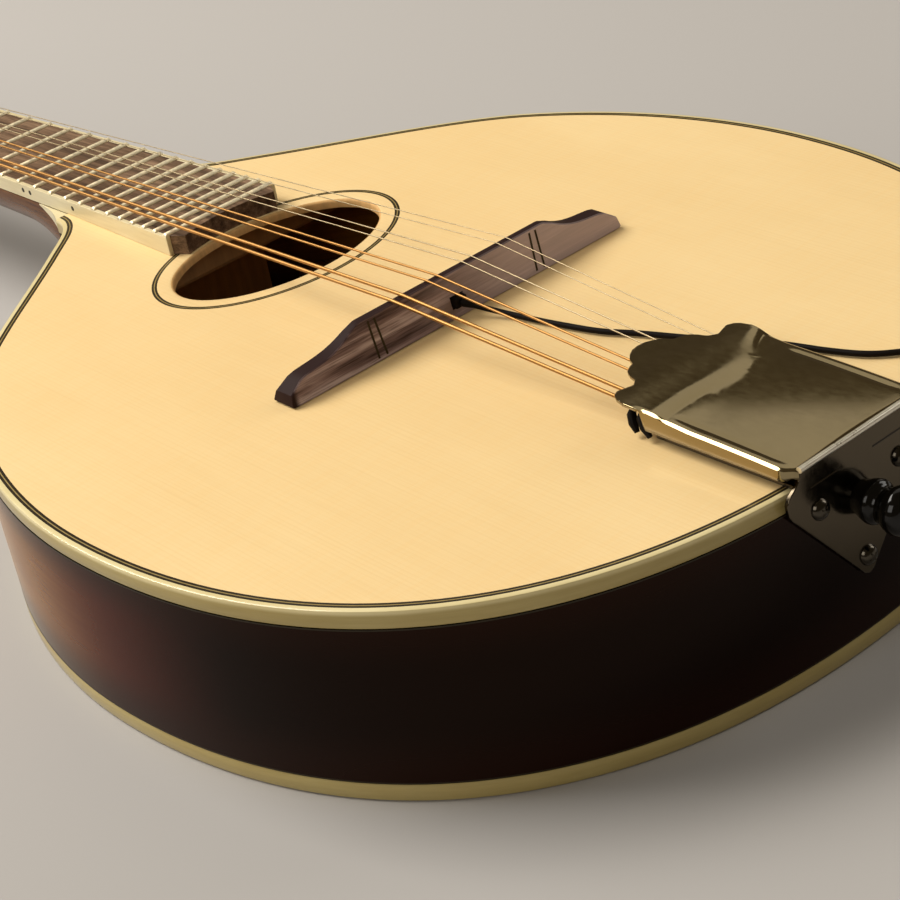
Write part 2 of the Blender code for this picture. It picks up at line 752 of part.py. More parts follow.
def cover_section(y, half, top, drop):
    """A channel: flat top, rounded shoulders, short skirts; drawn outside then inside."""
    low = TOP + COVER_SKIRT_Z + drop
    shell = COVER_THICK
    outer = [(half, low), (half, top - 2.2), (half - 0.8, top - 0.9), (half - 2.4, top - 0.2),
             (half - 4.4, top)]
    inner = [(half - shell, low), (half - shell, top - 2.4), (half - shell - 0.7, top - 1.6),
             (half - 2.8, top - shell - 0.2), (half - 4.4, top - shell)]
    outline = outer + mirror(outer)[::-1] + mirror(inner) + inner[::-1]
    return [(x, y, z) for x, z in outline]


def build_tailpiece(pin_hole, screw_holes):
    nickel = make_material("Nickel", (0.66, 0.65, 0.62), 0.18, 1.0)
    steel = make_material("ScrewSteel", (0.62, 0.61, 0.58), 0.25, 1.0)
    black = make_material("PinBlack", (0.012, 0.012, 0.012), 0.25)

    low = TOP + GAP
    base = box("tailpiece_base", (39.6, PLATE_Y - TAIL_PLATE / 2 + 106.0, TAIL_PLATE),
               (0.0, (PLATE_Y - TAIL_PLATE / 2 - 106.0) / 2, low + TAIL_PLATE / 2), nickel)
    drop_side = ((16.0, TOP + TAIL_RISE), (18.0, TOP + 5.0), (18.8, TOP + 4.2), (19.3, TOP + 3.2),
                 (21.2, TOP + 1.6), (23.3, TOP + 0.2), (24.0, TOP - 1.4), (23.8, TOP - 4.2),
                 (22.9, TOP - 5.9), (21.2, TOP - 7.8), (3.2, TOP - 29.6), (1.7, TOP - 31.6),
                 (0.0, TOP - 32.4))
    drop_loop = list(drop_side) + mirror(drop_side[:-1])[::-1]
    drop = flat_solid("tailpiece_drop", [drop_loop], -TAIL_PLATE / 2, TAIL_PLATE / 2)
    drop.rotation_euler.x = math.pi / 2
    drop.location = Vector((0.0, PLATE_Y - TAIL_PLATE / 2, 0.0)) * MM
    hooks = bmesh.new()
    for index in range(8):
        x = course_x(index, HOOK_SPREAD, HOOK_PAIR)
        spot = Matrix.Translation(Vector((x, HOOK_Y, low + TAIL_PLATE / 2 + 2.2)) * MM)
        add_rod(hooks, 0.9, 4.6, spot, 10)
    join(base, to_mesh(drop))
    join(base, from_bmesh("tailpiece_hooks", hooks))
    cut(base, pin_hole)
    cut(base, screw_holes)

    back_y = PLATE_Y - TAIL_PLATE - GAP - 0.5
    back_top = TOP + TAIL_RISE + GAP + COVER_THICK
    sections = ((back_y, 20.2, back_top, 0.4), (back_y + 2.0, 21.8, back_top + 0.1, 0.1),
                (back_y + 5.0, 22.6, back_top + 0.1, 0.0),
                (-132.0, 22.6, back_top + 0.6, 0.0), (-115.0, 22.6, back_top + 1.0, 0.0),
                (-112.0, 22.6, back_top + 1.4, 0.0), (-109.0, 22.6, back_top + 2.2, 0.0),
                (COVER_FRONT_Y, 22.5, back_top + 2.6, 0.0), (-104.6, 22.4, back_top + 2.6, 0.4))
    shell = bmesh.new()
    loft(shell, [cover_section(*section) for section in sections])
    cover = from_bmesh("tailpiece_cover", shell, nickel)
    half = cover_front()
    front_top = back_top + 2.6 - TOP
    panel = flat_solid("cover_panel", [half + mirror(half[1:])[::-1]], -COVER_THICK / 2, COVER_THICK / 2)
    panel.location.z = (TOP + front_top - COVER_THICK / 2 + 0.02) * MM
    join(cover, to_mesh(panel))

    profile = ((0.0, 15.2), (4.0, 14.9), (5.6, 13.4), (6.1, 11.4), (5.6, 9.6), (4.6, 8.2),
               (4.2, 7.0), (4.6, 6.0), (5.4, 5.2), (5.6, 4.2), (5.3, 2.8), (4.5, 1.0), (4.3, 0.0),
               (3.5, 0.0), (3.3, -17.0), (0.0, -17.0))
    pin = turned("end_pin", profile, 24, black)
    pin.rotation_euler.x = math.pi / 2
    pin.location = Vector((0.0, PLATE_Y - TAIL_PLATE - GAP, PIN_Z)) * MM

    for number, (x, z) in enumerate(SCREWS, 1):
        profile = ((0.0, 1.7), (1.2, 1.6), (2.2, 1.1), (2.7, 0.3), (2.7, 0.0), (1.2, 0.0),
                   (1.2, -12.0), (0.0, -14.0))
        screw = turned(f"tailpiece_screw_{number}", profile, 20, steel)
        screw.rotation_euler.x = math.pi / 2
        screw.location = Vector((x, PLATE_Y - TAIL_PLATE - GAP, z)) * MM


# ---------------------------------------------------------------- tuners


def build_tuners(frame):
    nickel = make_material("TunerNickel", (0.66, 0.65, 0.62), 0.22, 1.0)
    brass = make_material("PostNickel", (0.66, 0.64, 0.58), 0.25, 1.0)
    pearl = make_material("ButtonPearl", (0.85, 0.83, 0.76), 0.3)
    back = -VENEER - GAP - HEAD_THICK
    plate_high = back - GAP
    plate_low = plate_high - TUNER_PLATE
    axis_v = plate_low - GAP - WORM_R - 0.1

    for side, word in ((-1, "bass"), (1, "treble")):
        inner = side * (POST_X - 7.0)
        outer = side * (POST_X + 8.0)
        low_u = POST_U[0] - 8.0
        high_u = POST_U[-1] + WORM_OFFSET + 6.0
        loop = [(inner, low_u), (outer, low_u), (outer, high_u), (inner, high_u)]
        holes = [circle(side * POST_X, u, POST_HOLE) for u in POST_U]
        plate = flat_solid(f"tuner_plate_{word}", [loop] + holes, plate_low, plate_high, nickel, frame)
        plate = to_mesh(plate)
        tabs = bmesh.new()
        bores = bmesh.new()
        for u in POST_U:
            axis_u = u + WORM_OFFSET
            for off in (-1, 1):
                x = side * POST_X + off * (WORM_L / 2 + 1.0)
                tab = bmesh.ops.create_cube(tabs, size=1.0)
                size = Matrix.Diagonal(Vector((1.2, 6.0, 6.4, 1.0)) * MM)
                size[3][3] = 1.0
                spot = Matrix.Translation(Vector((x, axis_u, plate_low + 0.4 - 3.2)) * MM)
                bmesh.ops.transform(tabs, matrix=spot @ size, verts=tab["verts"])
            spot = Matrix.Translation(Vector((side * POST_X, axis_u, axis_v)) * MM)
            add_rod(bores, SHAFT_R + 0.3, 30.0, spot @ Matrix.Rotation(math.pi / 2, 4, "Y"))
        join(plate, from_bmesh(f"tuner_tabs_{word}", tabs, parent=frame))
        cut(plate, from_bmesh(f"tuner_bores_{word}", bores, parent=frame))

        for number, u in enumerate(POST_U, 1):
            gear_high = plate_low - GAP
            profile = ((0.0, POST_HIGH), (2.4, POST_HIGH), (POST_R, POST_HIGH - 0.5),
                       (POST_R, POST_HIGH - 2.5), (POST_R - 0.4, POST_HIGH - 4.0),
                       (POST_R, 1.5), (POST_R, gear_high),
                       (GEAR_R, gear_high), (GEAR_R, gear_high - GEAR_H),
                       (2.0, gear_high - GEAR_H), (2.0, gear_high - GEAR_H - 1.4),
                       (0.0, gear_high - GEAR_H - 1.4))
            post = turned(f"post_{word}_{number}", profile, 14, brass, frame)
            post.location = Vector((side * POST_X, u, 0.0)) * MM

            inner_end = -(WORM_L / 2 + 3.0)
            worm_end = WORM_L / 2
            reach = BUTTON_X - POST_X
            profile = ((0.0, reach), (SHAFT_R, reach), (SHAFT_R, worm_end), (WORM_R, worm_end),
                       (WORM_R, -worm_end), (SHAFT_R, -worm_end), (SHAFT_R, inner_end),
                       (0.0, inner_end))
            knob = turned(f"knob_{word}_{number}", profile, 16, pearl, frame)
            button = bmesh.new()
            bmesh.ops.create_cube(button, size=1.0)
            size = Vector((BUTTON[2], BUTTON[1], BUTTON[0])) * MM
            bmesh.ops.scale(button, vec=size, verts=button.verts)
            bmesh.ops.bevel(button, geom=button.edges, offset=1.8 * MM, segments=2, affect="EDGES")
            bmesh.ops.translate(button, vec=Vector((0, 0, reach + 1.0)) * MM, verts=button.verts)
            spot = Vector((side * POST_X, u + WORM_OFFSET, axis_v)) * MM
            turn = side * math.pi / 2
            knob.location = spot
            knob.rotation_euler.y = turn
            body = from_bmesh(f"button_{word}_{number}", button, parent=frame)
            body.location = spot
            body.rotation_euler.y = turn
            join(knob, body)


clear_scene()
tail_pin_hole, tail_screw_holes = build_body()
headstock_frame = build_neck()
build_strings()
build_bridge()
build_pickup_lead()
build_tailpiece(tail_pin_hole, tail_screw_holes)
build_tuners(headstock_frame)
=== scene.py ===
"""Looks for the flat-top mandolin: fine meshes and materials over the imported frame.

The frame is in metres: +Y from tail to headstock, +X to the treble side, +Z up from the back.
Lengths here are millimetres turned into metres by MM when a mesh is made.
"""

import math

import bmesh
import bpy
from mathutils import Matrix, Vector
from mathutils.geometry import interpolate_bezier


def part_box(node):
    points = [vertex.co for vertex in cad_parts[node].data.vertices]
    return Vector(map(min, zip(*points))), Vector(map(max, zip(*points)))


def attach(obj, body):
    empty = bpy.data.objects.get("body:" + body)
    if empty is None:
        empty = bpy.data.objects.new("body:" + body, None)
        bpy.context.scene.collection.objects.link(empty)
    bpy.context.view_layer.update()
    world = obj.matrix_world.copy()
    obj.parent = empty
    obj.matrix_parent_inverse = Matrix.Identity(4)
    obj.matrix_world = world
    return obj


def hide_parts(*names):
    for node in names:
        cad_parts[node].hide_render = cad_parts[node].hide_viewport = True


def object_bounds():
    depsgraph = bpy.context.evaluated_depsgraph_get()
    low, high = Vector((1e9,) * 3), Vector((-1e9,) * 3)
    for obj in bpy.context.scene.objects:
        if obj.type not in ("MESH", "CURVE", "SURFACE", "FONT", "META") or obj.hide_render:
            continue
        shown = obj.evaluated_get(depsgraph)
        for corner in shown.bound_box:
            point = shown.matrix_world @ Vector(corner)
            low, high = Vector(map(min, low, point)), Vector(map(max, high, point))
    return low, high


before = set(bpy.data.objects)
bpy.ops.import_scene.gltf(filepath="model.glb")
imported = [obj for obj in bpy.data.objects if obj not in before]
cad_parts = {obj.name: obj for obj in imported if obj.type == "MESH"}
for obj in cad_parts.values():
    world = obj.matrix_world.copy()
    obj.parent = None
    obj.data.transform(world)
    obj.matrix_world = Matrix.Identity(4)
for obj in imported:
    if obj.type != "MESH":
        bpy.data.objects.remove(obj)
cad_low, cad_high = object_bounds()

MM = 0.001
WHITE = (1.0, 1.0, 1.0)
SIDES = ((-1, "bass"), (1, "treble"))


def span(node, axis):
    """A node's lowest and highest coordinate along one axis, in millimetres."""
    low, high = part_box(node)
    return low[axis] / MM, high[axis] / MM


# Body
TAIL_Y, JOINT_Y = span("binding_top", 1)
HALF_WIDTH = span("binding_top", 0)[1]
TOP = span("soundboard", 2)[1]
PLATE = 2.7
BINDING = 2.2
BINDING_H = 5.0
BINDING_TOP = 1.5              # ivory showing on the top, outside the purfling
LINING_H = 11.0
LINING_GAP = 0.3
SIDE_LINE = 0.45
PURFLING = (0.75, 0.3, 0.75)
PURFLING_DEEP = 1.6
WIDEST_Y = -16.0
HOLE_Y = 72.0
HOLE_A = 34.7
HOLE_B = 22.9
ROSETTE_IN = 4.9
ROSETTE_LINES = (0.65, 0.3, 0.65)
ROSETTE_DEEP = 0.8

# Fingerboard and neck
SCALE = 354.0
FRETS = 22
BOARD_TOP = 6.2
BOARD_SLOPE = 0.0231
BOARD_THICK = 5.0
BOARD_HALF_12 = 18.9
BOARD_HALF_22 = 20.7
BOARD_BINDING = 1.5
BOARD_CORNER_Y = 98.2
FRET_HIGH = 0.9
NUT_THICK = 4.4
NUT_Y = SCALE + 0.3
HEEL_Y = JOINT_Y + 0.05

# Strings, bass to treble, in pairs
STRING_NAMES = ("g1", "g2", "d1", "d2", "a1", "a2", "e1", "e2")
STRING_D = (1.02, 1.02, 0.66, 0.66, 0.38, 0.38, 0.28, 0.28)
BRIDGE_Y = -9.7
STRING_Z = 13.3
BRIDGE_SPREAD = 38.0
BRIDGE_PAIR = 3.6
NUT_STRING_Z = 1.6
NUT_SPREAD = 22.8
NUT_PAIR = 2.0
HOOK_Y = -118.0
HOOK_Z = 4.2
HOOK_SPREAD = 30.0
HOOK_PAIR = 3.2
BRIDGE_HALF = 59.5
CREST = STRING_Z - 0.66

# Headstock and tuners, in the headstock's own frame: x across, u along, v out of the face
HEAD_Y = SCALE + NUT_THICK + 0.6
HEAD_Z = TOP - 3.2
HEAD_TILT = 11.0
HEAD_THICK = 13.0
VENEER = 1.5
HEAD_BACK = -VENEER - 0.3 - HEAD_THICK
POST_U = (20.0, 43.0, 66.0, 89.0)
POST_X = 17.0
POST_HIGH = 12.0
WRAP_START = 4.2
GEAR_R = 5.4
GEAR_TEETH = 14
GEAR_DEEP = 4.0
WORM_R = 2.7
WORM_TURNS = 4.0
WORM_LONG = 7.4
WORM_OFFSET = 8.45
BUTTON_X = 41.5

# Tailpiece
TAIL_PLATE_Y = TAIL_Y - 0.3
TAIL_RISE = 5.5
COVER_REAR = TAIL_Y - 2.3
COVER_HALF = 22.5
COVER_Z = 7.25                 # its rear edge above the soundboard
COVER_SLOPE = 1.15             # rise from the rear edge to the step
COVER_STEP = 0.8
COVER_CROWN = 0.5
PIN_Z = TOP - 11.0
SCREWS = ((-13.9, TOP - 7.2), (13.9, TOP - 7.2), (0.0, TOP - 27.2))

# The pickup lead's route, repeated from the model, in metres from the soundboard's face up
LEAD_D = 0.0016
LEAD_ROUTE = (
    (-0.0006, -0.0144, 0.0044), (0.0018, -0.0192, 0.0030), (0.0037, -0.0236, 0.0020),
    (0.0052, -0.0282, 0.0014), (0.0066, -0.0345, 0.0011), (0.0084, -0.0440, 0.0011),
    (0.0110, -0.0548, 0.0011), (0.0154, -0.0650, 0.0011), (0.0203, -0.0782, 0.0011),
    (0.0252, -0.0896, 0.0011), (0.0296, -0.1006, 0.0011), (0.0332, -0.1140, 0.0011),
    (0.0370, -0.1236, 0.0011), (0.0426, -0.1304, 0.0011), (0.0486, -0.1364, 0.0013),
    (0.0536, -0.1420, 0.0014), (0.0570, -0.1466, -0.0008), (0.0587, -0.1493, -0.0065),
    (0.0592, -0.1503, -0.0132),
)


# --- shader


class Paint:
    """One material, and short names for the nodes that feed its shader."""

    def __init__(self, name, colour, roughness, metallic=0.0, coat=0.0, coat_roughness=0.05,
                 shine=0.5, tint=WHITE):
        self.made = bpy.data.materials.new(name)
        self.made.use_nodes = True
        self.made.diffuse_color = (*colour, 1.0)
        self.tree = self.made.node_tree
        self.shader = self.tree.nodes["Principled BSDF"]
        self.coords = self.node("TexCoord").outputs["Object"]
        self.fill(self.shader, Base_Color=colour, Roughness=roughness, Metallic=metallic,
                  Specular_IOR_Level=shine, Specular_Tint=tint, Coat_Weight=coat,
                  Coat_Roughness=coat_roughness)

    def put(self, socket, value):
        """Give a socket a value, or link it to another node's output."""
        if isinstance(value, bpy.types.NodeSocket):
            self.tree.links.new(value, socket)
        elif socket.type == "RGBA":
            socket.default_value = (*value, 1.0)
        else:
            socket.default_value = value

    def fill(self, node, **inputs):
        """Put values into a node's inputs, whose names have _ for a space."""
        for name, value in inputs.items():
            self.put(node.inputs[name.replace("_", " ")], value)

    def node(self, kind, **inputs):
        made = self.tree.nodes.new("ShaderNode" + kind)
        self.fill(made, **inputs)
        return made

    def stretched(self, scale, turn=(0.0, 0.0, 0.0)):
        """Object coordinates in metres, scaled by a factor for each axis."""
        mapping = self.node("Mapping", Scale=scale, Rotation=turn, Vector=self.coords)
        return mapping.outputs["Vector"]

    def noise(self, scale, detail=3.0, rough=0.55, turn=(0.0, 0.0, 0.0)):
        texture = self.node("TexNoise", Scale=1.0, Detail=detail, Roughness=rough,
                            Vector=self.stretched(scale, turn))
        return texture.outputs["Fac"]

    def waves(self, scale, distortion=3.0, detail=2.0):
        texture = self.node("TexWave", Scale=1.0, Distortion=distortion, Detail=detail,
                            Vector=self.stretched(scale))
        return texture.outputs["Fac"]

    def axis(self, name, low, high):
        """One object coordinate, taken from 0 at low to 1 at high, in metres."""
        split = self.node("SeparateXYZ", Vector=self.coords)
        return self.ranged(split.outputs[name], low, high)

    def facing_up(self, low, high):
        split = self.node("SeparateXYZ", Vector=self.node("NewGeometry").outputs["Normal"])
        return self.ranged(split.outputs["Z"], low, high)

    def ranged(self, value, low, high, to_low=0.0, to_high=1.0):
        node = self.node("MapRange", From_Min=low, From_Max=high, To_Min=to_low, To_Max=to_high,
                         Value=value)
        node.interpolation_type = "SMOOTHSTEP"
        return node.outputs["Result"]

    def scaled(self, value, factor):
        node = self.node("Math")
        node.operation = "MULTIPLY"
        self.put(node.inputs[0], value)
        self.put(node.inputs[1], factor)
        return node.outputs["Value"]

    def ramp(self, factor, *stops):
        """Colours at places along 0 to 1; each stop is (place, colour)."""
        node = self.node("ValToRGB", Fac=factor)
        elements = node.color_ramp.elements
        while len(elements) < len(stops):
            elements.new(0.5)
        for element, (place, colour) in zip(elements, stops):
            element.position = place
            element.color = (*colour, 1.0)
        return node.outputs["Color"]

    def mix(self, factor, first, second, blend="MIX"):
        node = self.node("Mix")
        node.data_type = "RGBA"
        node.blend_type = blend
        sockets = {socket.identifier: socket for socket in node.inputs}
        self.put(sockets["Factor_Float"], factor)
        self.put(sockets["A_Color"], first)
        self.put(sockets["B_Color"], second)
        return next(s for s in node.outputs if s.identifier == "Result_Color")

    def times(self, factor, first, second):
        return self.mix(factor, first, second, "MULTIPLY")

    def colour(self, value):
        self.fill(self.shader, Base_Color=value)

    def roughness(self, factor, low, high):
        self.fill(self.shader, Roughness=self.ranged(factor, 0.0, 1.0, low, high))

    def bump(self, height, strength, distance=0.0001):
        node = self.node("Bump", Strength=strength, Distance=distance, Height=height)
        self.fill(self.shader, Normal=node.outputs["Normal"])


# --- materials


def spruce():
    paint = Paint("SpruceTop", (0.93, 0.66, 0.31), 0.42, 0.0, 0.3, 0.16, 0.3)
    rings = paint.waves((235.0, 3.0, 40.0), 5.0, 2.5)
    fibre = paint.noise((1500.0, 26.0, 300.0), 4.0, 0.6)
    cloud = paint.noise((16.0, 7.0, 10.0), 3.0)
    silk = paint.noise((90.0, 700.0, 100.0), 2.0)
    base = paint.ramp(cloud, (0.30, (0.86, 0.625, 0.300)), (0.72, (0.91, 0.690, 0.355)))
    lines = paint.ramp(rings, (0.0, (0.90, 0.84, 0.76)), (0.35, WHITE))
    grained = paint.times(0.17, base, lines)
    streaks = paint.ramp(fibre, (0.35, (0.90, 0.86, 0.80)), (0.60, WHITE))
    grained = paint.times(0.22, grained, streaks)
    shimmer = paint.ramp(silk, (0.42, WHITE), (0.62, (1.0, 0.975, 0.93)))
    paint.colour(paint.times(0.6, grained, shimmer))
    paint.roughness(fibre, 0.36, 0.5)
    paint.bump(fibre, 0.03)
    return paint.made


def sides_wood_and_shade():
    """Brown by the neck, maroon and then black towards the tail as painted shade, and darker along both
    edges.
    """
    paint = Paint("SidesWoodAndPaintedShade", (0.1, 0.02, 0.006), 0.16, 0.0, 0.03, 0.03, 0.12,
                  (1.0, 0.62, 0.42))
    figure = paint.noise((60.0, 40.0, 700.0), 4.0, 0.6)
    flame = paint.waves((30.0, 26.0, 4.0), 3.0, 2.0)
    wood = paint.ramp(figure, (0.30, (0.30, 0.120, 0.010)), (0.70, (0.48, 0.215, 0.022)))
    wood = paint.mix(paint.ranged(flame, 0.0, 1.0, 0.0, 0.25), wood, (0.60, 0.29, 0.04))
    # Maroon and then black towards the tail: painted shade where the sides turn from the light.
    maroon = paint.mix(paint.axis("Y", 0.075, -0.03), wood, (0.085, 0.008, 0.001))
    dark = paint.mix(paint.axis("Y", 0.005, -0.070), maroon, (0.003, 0.0006, 0.0004))
    rim = paint.scaled(paint.axis("Z", 0.022, 0.006), 0.85)
    dark = paint.mix(rim, dark, (0.012, 0.003, 0.0015))
    rim = paint.scaled(paint.axis("Z", 0.036, 0.050), 0.85)
    paint.colour(paint.mix(rim, dark, (0.012, 0.003, 0.0015)))
    return paint.made


def back_wood():
    paint = Paint("SunburstBack", (0.12, 0.04, 0.01), 0.16, 0.0, 0.08, 0.03, 0.2,
                  (1.0, 0.66, 0.45))
    figure = paint.noise((420.0, 14.0, 100.0), 4.0, 0.6)
    flame = paint.waves((6.0, 46.0, 4.0), 4.0, 2.0)
    wood = paint.ramp(figure, (0.30, (0.15, 0.042, 0.007)), (0.70, (0.30, 0.105, 0.02)))
    wood = paint.mix(paint.ranged(flame, 0.0, 1.0, 0.0, 0.3), wood, (0.40, 0.17, 0.04))
    length = paint.node("VectorMath", Vector=paint.stretched((8.2, 7.0, 0.0)))
    length.operation = "LENGTH"
    burst = paint.ranged(length.outputs["Value"], 0.35, 1.02)
    paint.colour(paint.mix(burst, wood, (0.010, 0.0025, 0.0012)))
    return paint.made


def neck_wood():
    paint = Paint("NeckLacquer", (0.12, 0.045, 0.02), 0.2, 0.0, 0.04, 0.04, 0.15,
                  (1.0, 0.66, 0.45))
    figure = paint.noise((500.0, 22.0, 500.0), 4.0, 0.6)
    pores = paint.noise((2600.0, 120.0, 2600.0), 2.0)
    wood = paint.ramp(figure, (0.30, (0.10, 0.034, 0.010)), (0.70, (0.20, 0.080, 0.022)))
    specks = paint.ramp(pores, (0.36, (0.55, 0.5, 0.5)), (0.46, WHITE))
    paint.colour(paint.times(0.8, wood, specks))
    return paint.made


def bare_wood(name="BareWood", colour=(0.50, 0.27, 0.10), sealed=False):
    """Sanded wood; a sealed one has dark lacquer on its face at the neck joint."""
    paint = Paint(name, colour, 0.7)
    figure = paint.noise((400.0, 400.0, 60.0), 4.0, 0.6)
    darker = tuple(0.72 * part for part in colour)
    wood = paint.ramp(figure, (0.3, darker), (0.7, colour))
    if sealed:
        lacquer = paint.axis("Y", (JOINT_Y - 1.6) * MM, (JOINT_Y - 1.0) * MM)
        wood = paint.mix(lacquer, wood, (0.030, 0.010, 0.004))
    paint.colour(wood)
    paint.bump(figure, 0.15)
    return paint.made


def rosewood(name, low, middle, high, along, gloss, tilt=0.0, pale=(), shine=0.25, grain=430.0):
    """Streaked open-pored wood, its grain along one axis; pale is its colour to the treble side."""
    paint = Paint(name, middle, gloss, shine=shine)
    turn = (0.0, tilt, 0.0)
    thin = [grain, grain, grain]
    thin["XYZ".index(along)] = 16.0
    fine = [2600.0, 2600.0, 2600.0]
    fine["XYZ".index(along)] = 90.0
    streaks = paint.noise(thin, 4.0, 0.65, turn)
    pores = paint.noise(fine, 3.0, 0.6, turn)
    wood = paint.ramp(streaks, (0.32, low), (0.50, middle), (0.68, high))
    specks = paint.ramp(pores, (0.36, (0.45, 0.42, 0.40)), (0.50, WHITE))
    wood = paint.times(0.75, wood, specks)
    if pale:
        treble = paint.scaled(paint.axis("X", -0.025, 0.03), 0.7)
        wood = paint.mix(treble, wood, pale)
        # Faces turned upwards are darkened to the low tone: painted shade.
        wood = paint.mix(paint.facing_up(0.60, 0.85), wood, low)
        wood = paint.mix(paint.axis("X", -0.0565, -0.0585), wood, low)
    paint.colour(wood)
    paint.roughness(pores, gloss + 0.1, gloss - 0.05)
    paint.bump(pores, 0.25)
    return paint.made


def ivory(name, low, high, painted_side_shade=()):
    """Grained ivoroid; the last tone darkens everything below the top's edge: painted shade on the
    binding's upright faces.
    """
    paint = Paint(name, high, 0.3, 0.0, 0.4, 0.06, 0.3)
    grain = paint.noise((60.0, 60.0, 900.0), 3.0)
    age = paint.noise((22.0, 22.0, 22.0), 2.0)
    cream = paint.ramp(grain, (0.3, low), (0.7, high))
    if painted_side_shade:
        # Below the top's edge the ivory is multiplied darker: painted shade.
        edge_z = TOP * MM
        under = paint.axis("Z", edge_z - 0.0005, edge_z - 0.0016)
        cream = paint.mix(under, cream, paint.times(1.0, cream, painted_side_shade))
    worn = paint.ramp(age, (0.35, (0.93, 0.88, 0.78)), (0.65, WHITE))
    paint.colour(paint.times(0.8, cream, worn))
    return paint.made


def nickel(name, colour, rough):
    paint = Paint(name, colour, rough, metallic=1.0)
    haze = paint.noise((45.0, 45.0, 45.0), 3.0)
    scuffs = paint.noise((900.0, 260.0, 600.0), 4.0, 0.6)
    darker = tuple(0.93 * part for part in colour)
    paint.colour(paint.ramp(haze, (0.35, darker), (0.65, colour)))
    paint.roughness(scuffs, rough * 0.6, rough * 1.7)
    return paint.made


def string_metal(name, colour, rough, wrap):
    """Plain wire, or round-wound wire whose wraps are wrap metres apart."""
    paint = Paint(name, colour, rough, metallic=1.0)
    tarnish = paint.noise((40.0, 60.0, 40.0), 3.0)
    darker = tuple(0.85 * part for part in colour)
    paint.colour(paint.ramp(tarnish, (0.35, darker), (0.65, colour)))
    if wrap:
        period = 2 * math.pi / 20.0
        paint.bump(paint.waves((0.0, period / wrap, 0.0), 0.0, 0.0), 0.55, wrap / 3)
    return paint.made


def plastic(name, colour, rough, coat=0.3, shine=0.4):
    paint = Paint(name, colour, rough, 0.0, coat, 0.05, shine)
    mottle = paint.noise((260.0, 260.0, 260.0), 3.0)
    lighter = tuple(min(1.0, 1.25 * part + 0.002) for part in colour)
    paint.colour(paint.ramp(mottle, (0.3, colour), (0.75, lighter)))
    paint.roughness(mottle, rough * 0.8, rough * 1.25)
    return paint.made


def pearl():
    paint = Paint("Pearloid", (0.74, 0.71, 0.62), 0.22, coat=0.7, coat_roughness=0.06)
    swirl = paint.waves((50.0, 50.0, 50.0), 9.0, 3.0)
    paint.colour(paint.ramp(swirl, (0.2, (0.60, 0.58, 0.50)), (0.8, (0.84, 0.82, 0.75))))
    return paint.made


class Palette:
    """One material of each kind, made once."""

    def __init__(self):
        self.spruce = spruce()
        self.sides = sides_wood_and_shade()
        self.back = back_wood()
        self.neck = neck_wood()
        self.bare = bare_wood()
        self.block = bare_wood("NeckBlockWood", sealed=True)
        self.edge = bare_wood("HoleEdge", (0.80, 0.47, 0.17))
        self.board = rosewood("FingerboardWood", (0.060, 0.032, 0.018), (0.160, 0.094, 0.054),
                              (0.300, 0.190, 0.115), "Y", 0.42)
        self.bridge = rosewood("BridgeWood", (0.026, 0.013, 0.012), (0.230, 0.155, 0.155),
                               (0.560, 0.450, 0.460), "X", 0.5, 0.10, (0.66, 0.53, 0.53), 0.06, 260.0)
        self.ebony = rosewood("EbonyVeneer", (0.008, 0.007, 0.006), (0.014, 0.012, 0.010),
                              (0.024, 0.020, 0.017), "Y", 0.25)
        self.ivory = ivory("BodyIvory", (0.72, 0.62, 0.33), (0.80, 0.70, 0.40), (0.62, 0.57, 0.40))
        self.board_ivory = ivory("BoardIvory", (0.73, 0.64, 0.40), (0.81, 0.73, 0.48))
        self.black_line = plastic("BlackLine", (0.020, 0.013, 0.004), 0.4, 0.15, 0.15)
        self.white_line = plastic("TanLine", (0.30, 0.22, 0.08), 0.35, 0.15, 0.15)
        self.bone = plastic("BoneNut", (0.76, 0.72, 0.60), 0.35, 0.3)
        self.nickel = nickel("Nickel", (0.33, 0.265, 0.145), 0.095)
        # A much brighter copy of the nickel for the cover's rear fold: a painted highlight.
        self.bright = nickel("PaintedHighlightNickel", (1.0, 0.95, 0.80), 0.3)
        self.screw = nickel("ScrewNickel", (0.075, 0.065, 0.05), 0.16)
        # A much darker copy of the cover's nickel: painted shade on the tail plate facing away from the
        # key; the tail floor and tuner strips share it.
        self.satin = nickel("ShadedNickel", (0.105, 0.085, 0.058), 0.15)
        self.fret = nickel("FretWire", (0.96, 0.87, 0.64), 0.5)
        self.steel = nickel("RodSteel", (0.42, 0.42, 0.43), 0.35)
        self.bronze = string_metal("WoundBronze", (0.50, 0.27, 0.09), 0.5, 0.00028)
        self.wire = string_metal("PlainWire", (0.46, 0.37, 0.23), 0.45, 0.0)
        self.rubber = plastic("BlackRubber", (0.006, 0.004, 0.003), 0.5, 0.0, 0.06)
        self.pin = plastic("PinBlack", (0.002, 0.0015, 0.001), 0.12, 0.2, 0.2)
        self.felt = plastic("BlackFelt", (0.010, 0.010, 0.010), 0.85, 0.0)
        self.pearl = pearl()


# --- mesh helpers


def meshed(name, shape, looks=()):
    """A mesh in metres from a bmesh in millimetres."""
    bmesh.ops.scale(shape, vec=(MM, MM, MM), verts=shape.verts)
    mesh = bpy.data.meshes.new(name)
    shape.to_mesh(mesh)
    shape.free()
    for look in looks:
        mesh.materials.append(look)
    return mesh


def linked(name, data):
    made = bpy.data.objects.new(name, data)
    bpy.context.scene.collection.objects.link(made)
    return made


